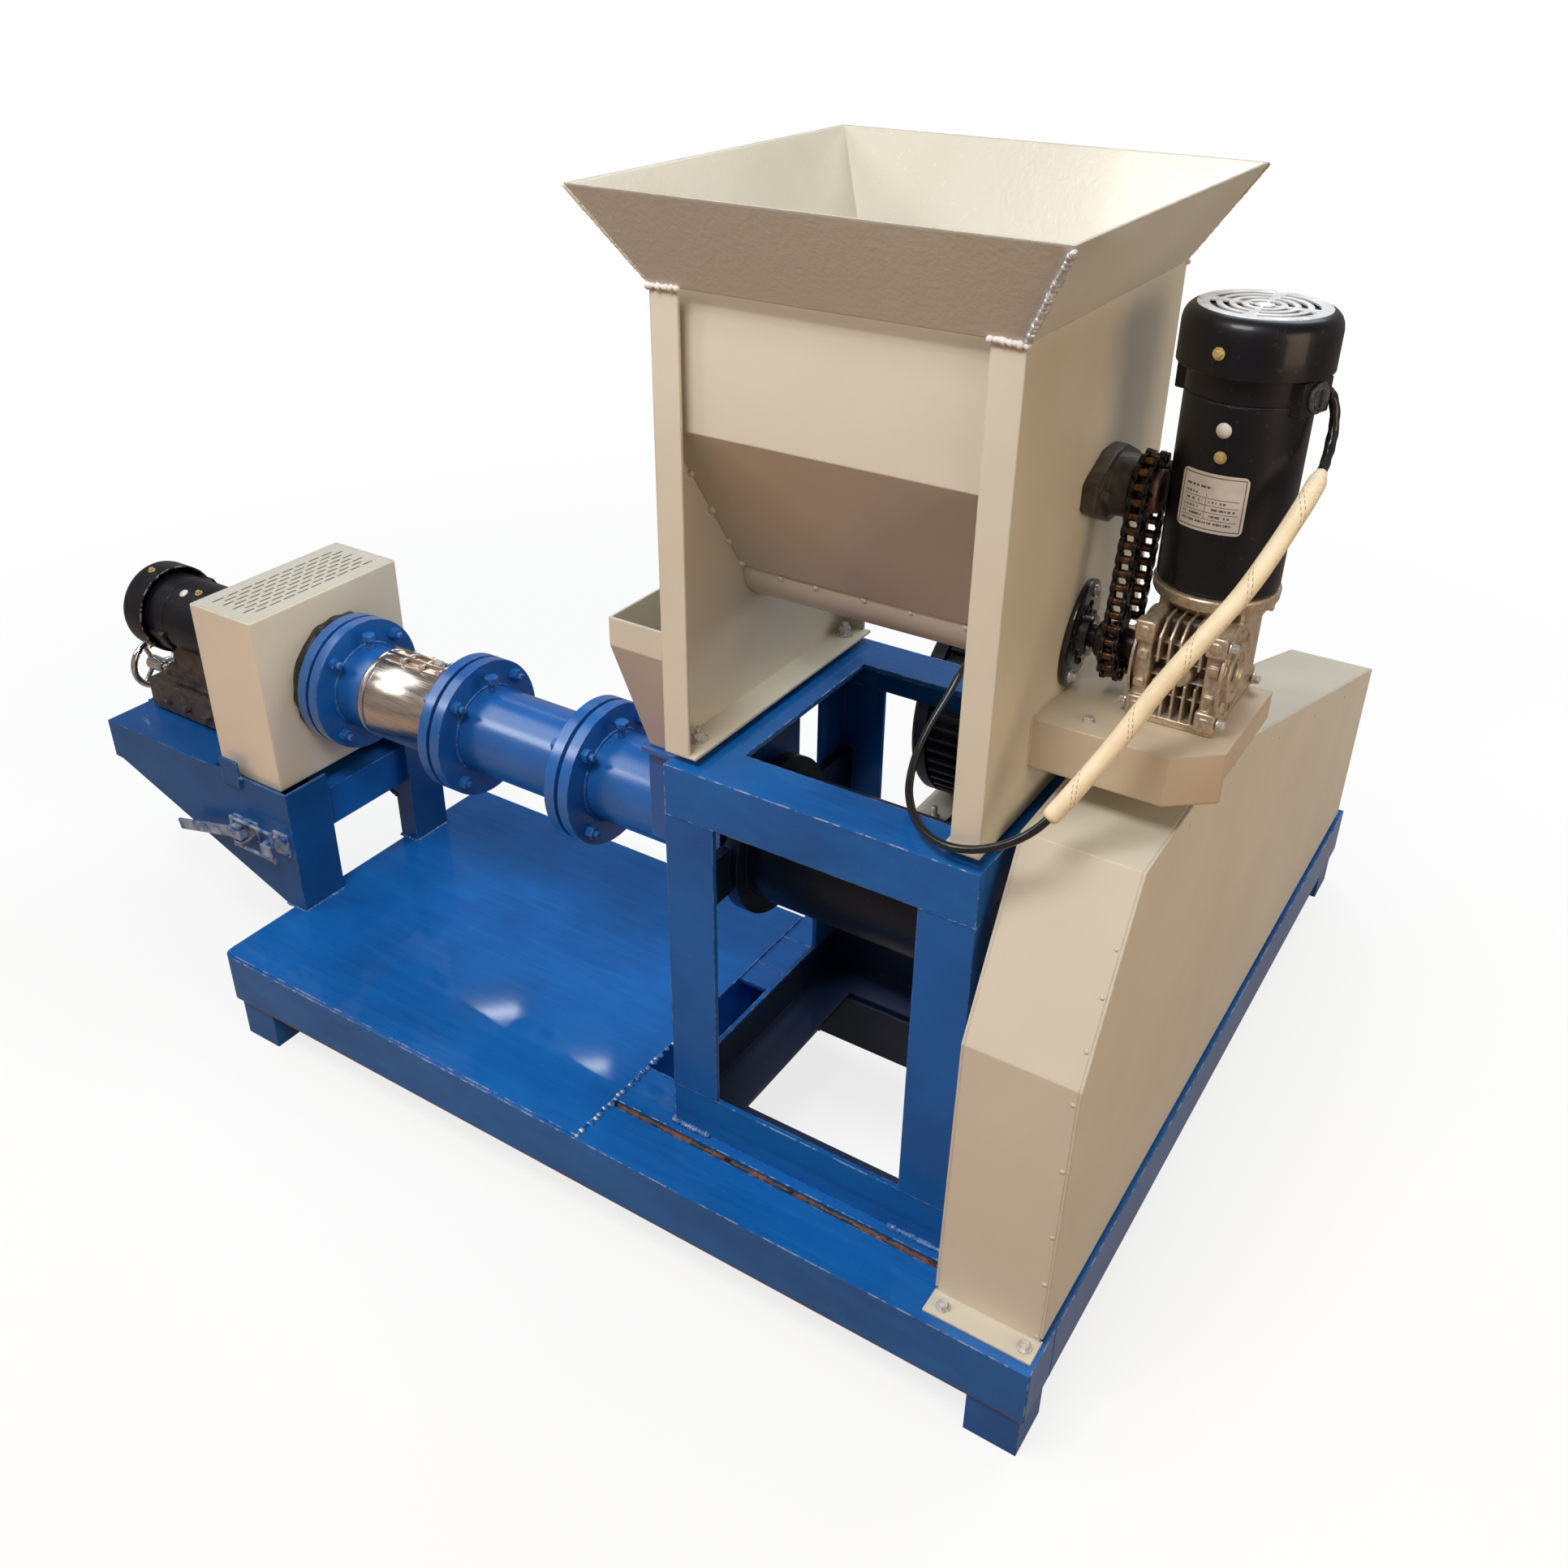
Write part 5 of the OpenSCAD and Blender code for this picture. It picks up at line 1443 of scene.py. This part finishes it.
cover = {"x": (-1320, -1200), "y": (140, 397), "z": (188, 444), "wall": 2, "fold": 2.5,
         "shaftHole": (246, 346, 22), "dieHole": (274, 314, 82)}
topSlots = {"Columns": 8, "Rows": 9, "Column Step": 0.0102, "Row Step": 0.0235, "Slot Length": 0.0185,
            "Slot Width": 0.0026, "Thickness": 0.0009}


def makeCover():
    (x0, x1), (y0, y1), (z0, z1), r = cover["x"], cover["y"], cover["z"], cover["fold"]
    # the four walls as one folded band, with rounded upright corners
    ring = []
    for x, y, start in ((x1 - r, y0 + r, -90), (x1 - r, y1 - r, 0), (x0 + r, y1 - r, 90),
                        (x0 + r, y0 + r, 180)):
        for i in range(5):
            turn = math.radians(start + 90 * i / 4)
            ring.append((x + r * math.cos(turn), y + r * math.sin(turn), x, y))
    bm = bmesh.new()
    rows = []
    for z, shrink in ((z0, 0), (z1 - r, 0), (z1 - r * 0.7, r * 0.05), (z1 - r * 0.3, r * 0.3),
                      (z1 - r * 0.05, r * 0.7), (z1, r)):
        k = 1 - shrink / r
        rows.append([bm.verts.new(at(mx + (x - mx) * k, my + (y - my) * k, z)) for x, y, mx, my in ring])
    skin(bm, rows)
    bmesh.ops.remove_doubles(bm, verts=bm.verts, dist=1e-6)
    bmesh.ops.recalc_face_normals(bm, faces=bm.faces)
    shell = bpy.data.objects.new("shell", meshFrom(bm, "shell"))
    scene.collection.objects.link(shell)
    # round openings for the shaft and the die
    tools = []
    for x, (y, z, radius) in ((x0, cover["shaftHole"]), (x1, cover["dieHole"])):
        cut = bmesh.new()
        addLathe(cut, (x - 12, y, z), (1, 0, 0), [(0, 0), (0, radius), (24, radius), (24, 0)], 72)
        tools.append(bpy.data.objects.new("tool", meshFrom(cut, "tool")))
        scene.collection.objects.link(tools[-1])
    wall = shell.modifiers.new("wall", "SOLIDIFY")
    wall.thickness = cover["wall"] / 1000
    wall.offset = -1
    for tool in tools:
        hole = shell.modifiers.new("hole", "BOOLEAN")
        hole.operation = "DIFFERENCE"
        hole.solver = "EXACT"
        hole.object = tool
    mesh = bpy.data.meshes.new_from_object(shell.evaluated_get(bpy.context.evaluated_depsgraph_get()))
    for item in [shell] + tools:
        bpy.data.objects.remove(item)
    newPiece("coverWalls", mesh, beigePaint, replaces=["cutter_cover"], angle=40)
    wide, long = (high - low - 2 * r + 0.4 for low, high in (cover["x"], cover["y"]))
    grown("coverTop", pointMesh([(0, 0, 0)], (0, 0, 1)), slottedPlateTree(),
          {"Width": wide / 1000, "Length": long / 1000, "Material": hammeredPaint, **topSlots},
          place=Matrix.Translation(at((x0 + x1) / 2, (y0 + y1) / 2, z1)))


makeCover()
print("cutter cover")


# barrel, heater band and seal

barrel = {"axis": (274, 314), "joints": (-713, -924, -1147), "pair": 36, "boltCircle": 78, "bolts": 4,
          "first": 45, "tube": 58.5, "plug": 14, "welds": (-712.5, -923.5, -1146.5, -749.5, -960.5)}
heater = {"x": (-1103, -966), "lift": 3.4, "screws": (-1058, -1024, -993), "ears": (-1090, -976)}
seal = {"x": (-1199.8, -1184.2), "inner": 70, "outer": 86, "waves": 9, "around": 120, "rings": 7,
        "droop": 3.0, "crown": 1.6}


def makeBarrelDetails():
    y, z = barrel["axis"]
    turns = [math.radians(barrel["first"] + 360 * i / barrel["bolts"]) for i in range(barrel["bolts"])]
    heads = [onCircle(x, barrel["axis"], barrel["boltCircle"], turn) for x in barrel["joints"]
             for turn in turns]
    hexSet("flangeBolts", heads, (1, 0, 0), 16, 8, 8.6, bluePaint, washerHeight=1.0)
    hexSet("flangeNuts", [(px - barrel["pair"], py, pz) for px, py, pz in heads], (-1, 0, 0), 16, 9, 8.6,
           bluePaint, washerHeight=1.0)
    turned("boltTips", wornBlue, [(px + 8, py, pz) for px, py, pz in heads], (1, 0, 0),
           [(0, 0), (0, 4.8), (6.6, 4.8), (7.6, 3.8), (7.6, 0)], 16)
    # the plugs that stand on the barrels beside each joint
    plugs = [(x + barrel["plug"], y, z + barrel["tube"]) for x in barrel["joints"]]
    hexSet("plugHeads", [(px, py, pz + 13) for px, py, pz in plugs], (0, 0, 1), 16, 7, 8.4, bluePaint,
           washerHeight=1.0)
    turned("plugShanks", wornBlue, [(px, py, pz - 3) for px, py, pz in plugs], (0, 0, 1),
           [(0, 0), (0, 5), (17, 5), (17, 0)], 20)
    rings = [[onCircle(x, barrel["axis"], barrel["tube"] + 1, 2 * math.pi * i / 90) for i in range(90)]
             for x in barrel["welds"]]
    beadSet("barrelWelds", rings, 6, 5, bluePaint, step=2.2, closed=True)


def makeHeater():
    y, z = barrel["axis"]
    r = barrel["tube"] + heater["lift"]
    bm = bmesh.new()
    outline = [(0, r - 1.2), (0, r - 0.2), (1.6, r + 0.9), (3.4, r + 0.9), (4.6, r), (12, r), (13, r + 0.5),
               (14, r), (68, r + 0.1), (122, r), (123, r + 0.5), (124, r), (132.4, r), (133.6, r + 0.9),
               (135.4, r + 0.9), (137, r - 0.2), (137, r - 1.2)]
    addLathe(bm, (heater["x"][0], y, z), (1, 0, 0), outline, 96, closed=True)
    # the gap and the two turned-up ears with their clamp screws
    for s in (-1, 1):
        addBlock(bm, heater["ears"], (y + s * 6.5 - 1, y + s * 6.5 + 1), (z + 58, z + 72), 0.8)
        addBlock(bm, heater["ears"], sorted((y + s * 5.5, y + s * 14)), (z + 61, z + 62.6), 0.7)
    bmesh.ops.recalc_face_normals(bm, faces=bm.faces)
    newPiece("heaterSheath", bm, stainless, replaces=["heater_band"], angle=35)
    bm = bmesh.new()
    for x in heater["screws"]:
        addLathe(bm, (x, y - 15, z + 66), (0, 1, 0),
                 [(0, 0), (0, 3.6), (3, 4.4), (3.6, 2), (26, 2), (26, 4.2), (30, 4.2), (30, 0)], 16)
    addBlock(bm, (-1008, -996), (y - 5, y + 5), (z + 63, z + 75), 1.2)
    bmesh.ops.recalc_face_normals(bm, faces=bm.faces)
    newPiece("heaterScrews", bm, zincSteel)


# a soft ring squeezed out between the die and the cover, with a wavy edge that sags
def makeSeal():
    dice = random.Random(21)
    low, high = seal["x"]
    waves = [(dice.uniform(1.0, 2.6), dice.randint(3, 23), dice.uniform(0, 6.28))
             for i in range(seal["waves"])]
    turns = [2 * math.pi * i / seal["around"] for i in range(seal["around"])]
    bm = bmesh.new()
    rings = []
    for step in range(seal["rings"]):
        share = step / (seal["rings"] - 1)
        ring = []
        for turn in turns:
            lump = sum(size * math.sin(count * turn + phase + step * 0.35)
                       for size, count, phase in waves) / 3
            reach = (seal["outer"] + lump + seal["droop"] * max(0.0, math.sin(turn)) * share
                     + seal["crown"] * math.sin(math.pi * share))
            ring.append(bm.verts.new(at(*onCircle(high + (low - high) * share, barrel["axis"], reach, turn))))
        rings.append(ring)
    for x in seal["x"]:
        rings.append([bm.verts.new(at(*onCircle(x, barrel["axis"], seal["inner"], turn))) for turn in turns])
    skin(bm, rings, closed=True)
    bmesh.ops.recalc_face_normals(bm, faces=bm.faces)
    newPiece("raggedSeal", bm, blackRubber, replaces=["die_seal"], angle=60)


makeBarrelDetails()
makeHeater()
makeSeal()
print("barrel")


# main motor behind the tower

mainMotor = {"axis": (919, 190), "back": -552, "fins": 48, "feet": (-474, -286), "grilleRings": 7,
             "studs": [(x, y) for x in (-516, -214) for y in (792, 1046)]}


def makeMainMotor():
    y, z = mainMotor["axis"]
    back = mainMotor["back"]
    bm = bmesh.new()
    addLathe(bm, (back, y, z), (1, 0, 0),
             [(0, 118), (0, 148), (2, 152.5), (6, 155), (24, 155), (25, 139.5), (362, 139.5), (364, 146),
              (386, 146), (390, 142), (402, 90), (408, 60), (410, 58), (410, 24.5), (423, 24.2), (424, 23),
              (424, 0)], 96)
    addLathe(bm, (back + 3, y, z), (1, 0, 0), [(0, 0), (0, 120), (6, 120), (6, 0)], 72)
    for x in mainMotor["feet"]:
        addBlock(bm, (x, x + 36), (y - 118, y + 118), (40, 92), 5, 3)
    for s in (-1, 1):
        addBlock(bm, (-492, -250), sorted((y + s * 96, y + s * 146)), (30, 48), 4, 3)
    # terminal box in three steps
    addBlock(bm, (-484, -386), (y - 54, y + 48), (z + 130, z + 166), 3)
    addBlock(bm, (-491, -379), (y - 57.4, y + 52), (z + 164, z + 206), 6, 3)
    addBlock(bm, (-492, -378), (y - 58, y + 53), (z + 203, z + 217), 5, 3)
    bmesh.ops.recalc_face_normals(bm, faces=bm.faces)
    newPiece("mainMotorBody", bm, blackPaint, replaces=["main_motor"], angle=30)
    grown("mainMotorFins", pointMesh([(-358, y, z)], (0, 0, 1)), finTree(),
          {"Count": mainMotor["fins"], "Radius": 0.1385, "Height": 0.0163, "Length": 0.330,
           "Thickness": 0.0045, "Material": blackPaint})
    grown("mainMotorGrille", pointMesh([(back + 0.2, y, z)], (-1, 0, 0)), grille,
          {"Radius": 0.1185, "Rings": mainMotor["grilleRings"], "Bars": 6, "Thickness": 0.0018,
           "Material": blackPaint})
    studs = [(x, sy, 30) for x, sy in mainMotor["studs"]]
    hexSet("motorMountNuts", studs, (0, 0, 1), 16, 10, 11)
    turned("motorMountStuds", zincSteel, studs, (0, 0, 1),
           [(0, 0), (0, 4.9), (27, 4.9), (28.4, 3.6), (28.4, 0)], 18)
    hexSet("motorFootBolts", [(x, y + s * 122, 48) for x in (-474, -268) for s in (-1, 1)],
           (0, 0, 1), 16, 8, 11)
    hexSet("terminalLidScrews", [(x, ly, z + 217) for x in (-484, -386) for ly in (y - 50, y + 45)],
           (0, 0, 1), 7, 4, 4.5)
    turned("terminalGland", blackRubber, [(-429, 861.6, 375)], (0, -1, 0),
           [(0, 0), (0, 13), (5, 13), (6, 9.5), (15, 9.5), (19, 7), (19, 4.4), (0, 4.4)], 24, angle=30)


makeMainMotor()
print("main motor")


# bolts and rivets

footPlaces = [(x, y) for x in (-482, -163) for y in (133, 433)]
carriage = "cutter_carriage"


def makeFastenings():
    hexSet("guardBolts", [(-108, 26, 2.5), (-18, 27, 2.5)], (0, 0, 1), 10, 5.5, 8)
    hexSet("hopperBolts", [(x, y, 506) for x, y in footPlaces], (0, 0, 1), 13, 8, 11.5, washerHeight=1.8)
    hexSet("footNuts", [(x, y, 494.2) for x, y in footPlaces], (0, 0, 1), 19, 8.0, 11.5, washerHeight=0.6)
    turned("hopperStuds", zincSteel, [(x, y, 506) for x, y in footPlaces], (0, 0, 1),
           [(0, 0), (0, 3.9), (14, 3.9), (15, 3), (15, 0)], 16)
    hexSet("slideBolts", [(-1494, 190, 221), (-1451, 190, 221), (-1407, 190, 219)], (0, -1, 0), 10, 7, 6.4,
           darkIron, carriage)
    hexSet("slotBolt", [(-1487, 223, 248), (-1404, 223, 248)], (0, 0, 1), 12, 6, 9, darkIron, carriage)
    hexSet("latchBolts", [(-1290, 123, 122), (-1252, 123, 122), (-1290, 123, 102), (-1252, 123, 102),
                          (-1187, 123, 124), (-1187, 123, 100)], (0, -1, 0), 6, 3, 4, bluePaint)
    front = [(41.2, 8), (43, 83), (44.6, 148), (46.6, 234), (48.6, 316), (65.5, 367), (88, 413), (108, 454)]
    domeSet("guardRivets", [(-12, y, z) for y, z in front], [(0, -1, 0)] * 5 + [(0, -0.9, 0.44)] * 3, 2.8,
            0.45, beigePaint, 0.3)
    side = [(120, 470), (260, 505), (400, 500), (600, 436), (800, 372), (1000, 308), (1180, 240), (1188, 120)]
    domeSet("sideRivets", [(-5, y, z) for y, z in side], (1, 0, 0), 2.8, 0.4, beigePaint, 0.3)


# weld beads and tacks

posts = ((-495, -435), (-199, -139))
towerPaths = [[(low, 90, z), (high, 90, z)] for low, high in posts for z in (60, 434)]
towerPaths += [[(low, 457, z), (high, 457, z)] for low, high in posts for z in (60, 434)]
towerPaths += [[(x, low, z), (x, high, z)] for x in (-495, -139) for low, high in ((90, 150), (397, 457))
               for z in (60, 434)]
towerWelds = {
    "towerSeams": {"paths": towerPaths, "width": 2.2, "height": 1.3, "step": 1.4, "material": bluePaint},
    "towerFootWelds": {"width": 10, "height": 8, "step": 2.0, "uneven": 0.5, "material": wornBlue, "paths": [
        [(-497, 88.5, 1.5), (-447, 88.5, 2)], [(-206, 88.5, 2), (-139, 88.5, 1.5)],
        [(-497, 92, 1.5), (-497, 118, 1.5)], [(-497, 430, 1.5), (-497, 455, 1.5)],
        [(-495, 458.5, 1.5), (-450, 458.5, 1.5)], [(-190, 458.5, 1.5), (-139, 458.5, 1.5)]]}}
frameWelds = {
    "armWelds": {"width": 6.5, "height": 4.5, "step": 2.0, "uneven": 0.5, "material": wornBlue, "paths": [
        [(-1296, 125.5, 196), (-1260, 125.5, 197)], [(-1212, 126, 3.5), (-1174, 126, 3.5)],
        [(-1173, 128, 3.5), (-1173, 196, 3.5)], [(-1171, 346, 3.5), (-1171, 406, 3.5)],
        [(-1205, 343, 3.5), (-1174, 343, 3.5)], [(-1205, 343.5, 75), (-1340, 343.5, 132)],
        [(-1561, 199, 197.5), (-1561, 343, 197.5)]]},
    "baseWelds": {"width": 3.2, "height": 2.0, "step": 1.6, "material": bluePaint, "paths": [
        [(-67, 67.5, 0.2), (-1.5, 67.5, 0.2)], [(-0.2, 2.4, -1), (-0.2, 2.4, -72)],
        [(-0.2, 67, -1), (-0.2, 67, -72)], [(-67, 1158, 0.2), (0, 1158, 0.2)],
        [(-200, 508.5, 0.2), (-300, 508.5, 0.2)], [(-64, 3.8, -73), (-4, 3.8, -73)],
        [(-1182, 3.8, -73), (-1122, 3.8, -73)]]},
    "collarWeld": {"width": 10, "height": 7, "step": 2.4, "uneven": 0.5, "material": weldMetal, "paths": [
        [(-146.2, 99.3, 971), (-100.4, 53.5, 1048.6)]]},
    "collarSeams": {"width": 3.4, "height": 2.4, "step": 2.0, "material": beigePaint, "paths": [
        [(-499, 99.3, 971), (-546, 52, 1051)], [(-146, 457.7, 971), (-99, 505, 1051)],
        [(-499, 457.7, 971), (-546, 505, 1051)]]},
    "legTopWelds": {"width": 9, "height": 8, "step": 2.6, "uneven": 0.5, "material": whiteSticker, "paths": [
        [(-499, 98.8, 969), (-469, 98.8, 970)], [(-176, 98.8, 970), (-146, 98.8, 969)],
        [(-499, 458.3, 969), (-469, 458.3, 970)], [(-176, 458.3, 970), (-146, 458.3, 969)]]}}
shelfWelds = {
    "shelfWeld": {"width": 3.4, "height": 2.2, "step": 1.8, "material": beigePaint, "paths": [
        [(-145.6, 194, 608.4), (-145.6, 364, 608.4)], [(-145.6, 192, 560), (-145.6, 192, 606)]]},
    "chuteWelds": {"width": 3.2, "height": 2.2, "step": 1.8, "material": beigePaint, "paths": [
        [(x, 130, 588.4), (x, 190, 441)] for x in (-588, -500)]}}
tackLine = {"x": -576, "stray": 1.2, "y": (4.0, 195), "gap": (6, 15), "seed": 9}


def makeWelds():
    for name, weld in towerWelds.items():
        beadSet(name, **weld)
    dice = random.Random(tackLine["seed"])
    tacks, (y, last), stray = [], tackLine["y"], tackLine["stray"]
    while y < last:
        tacks.append((tackLine["x"] + dice.uniform(-stray, stray), y, 1.6))
        y += dice.uniform(*tackLine["gap"])
    domeSet("sheetTacks", tacks, (0.3, 0, 1), 3.4, 0.75, weldMetal, 0.6)
    domeSet("sheetWeld", [(x + 1.5, y + 2, 0.9) for x, y, z in tacks], (0.3, 0, 1), 4.6, 0.6, wornBlue,
            0.4, seed=8)
    for name, weld in frameWelds.items():
        beadSet(name, **weld)
    dabs = [(-494, 148, 786), (-494, 180, 739), (-494, 210, 696), (-494, 232, 664)]
    dabs += [(x, 240, 655) for x in (-450, -408, -352, -300, -240, -196)]
    domeSet("panelTacks", dabs, (0, -0.82, -0.57), 4.8, 0.7, beigePaint, 0.4)
    for name, weld in shelfWelds.items():
        beadSet(name, **weld)


# the gap along the base: a strip laid down in it, near black as painted shade of the deep gap, with rust
# patches

rust = {"x": (-574, -74), "steps": 100, "z": -6, "uneven": 0.7, "deep": 3, "seed": 30,
        "trough": ((67.4, 2.5), (69, 0.6), (72, 0), (75, 0.6), (76.6, 2.5))}


def makeGapStrip():
    dice = random.Random(rust["seed"])
    low, high = rust["x"]
    bm = bmesh.new()
    rows = []
    for i in range(rust["steps"] + 1):
        x = low + (high - low) * i / rust["steps"]
        rows.append([bm.verts.new(at(x, y, rust["z"] + lift + dice.uniform(-rust["uneven"], rust["uneven"])))
                     for y, lift in rust["trough"]])
    for a, b in zip(rows, rows[1:]):
        for k in range(len(a) - 1):
            bm.faces.new((a[k], b[k], b[k + 1], a[k + 1]))
    made = bmesh.ops.extrude_face_region(bm, geom=bm.faces[:])
    for item in made["geom"]:
        if isinstance(item, bmesh.types.BMVert):
            item.co.z -= rust["deep"] / 1000
    bmesh.ops.recalc_face_normals(bm, faces=bm.faces)
    newPiece("gapShadeRustStrip", bm, gapShadeRustSteel, angle=50)


def gapShadeRustFinish():
    material, tree, shader = newMaterial("rust over painted gap shade")
    # near black is painted shade down in the gap; the orange-brown patches are rust
    patches = ranged(tree, noise(tree, 46, 6, 0.7), 0.46, 0.60)
    colour = mixed(tree, patches, (0.012, 0.010, 0.010), (0.22, 0.075, 0.022))
    bright = ranged(tree, noise(tree, 120, 4, 0.7), 0.62, 0.70)
    colour = mixed(tree, times(tree, patches, bright), colour, (0.55, 0.25, 0.09))
    tree.links.new(colour, shader.inputs["Base Color"])
    tree.links.new(ranged(tree, patches, 0, 1, 0.4, 0.8), shader.inputs["Roughness"])
    bumped(tree, shader, [(noise(tree, 220, 4), 0.6, 0.001)])
    return material


gapShadeRustSteel = gapShadeRustFinish()
makeFastenings()
makeWelds()
makeGapStrip()
print("bolts and welds")
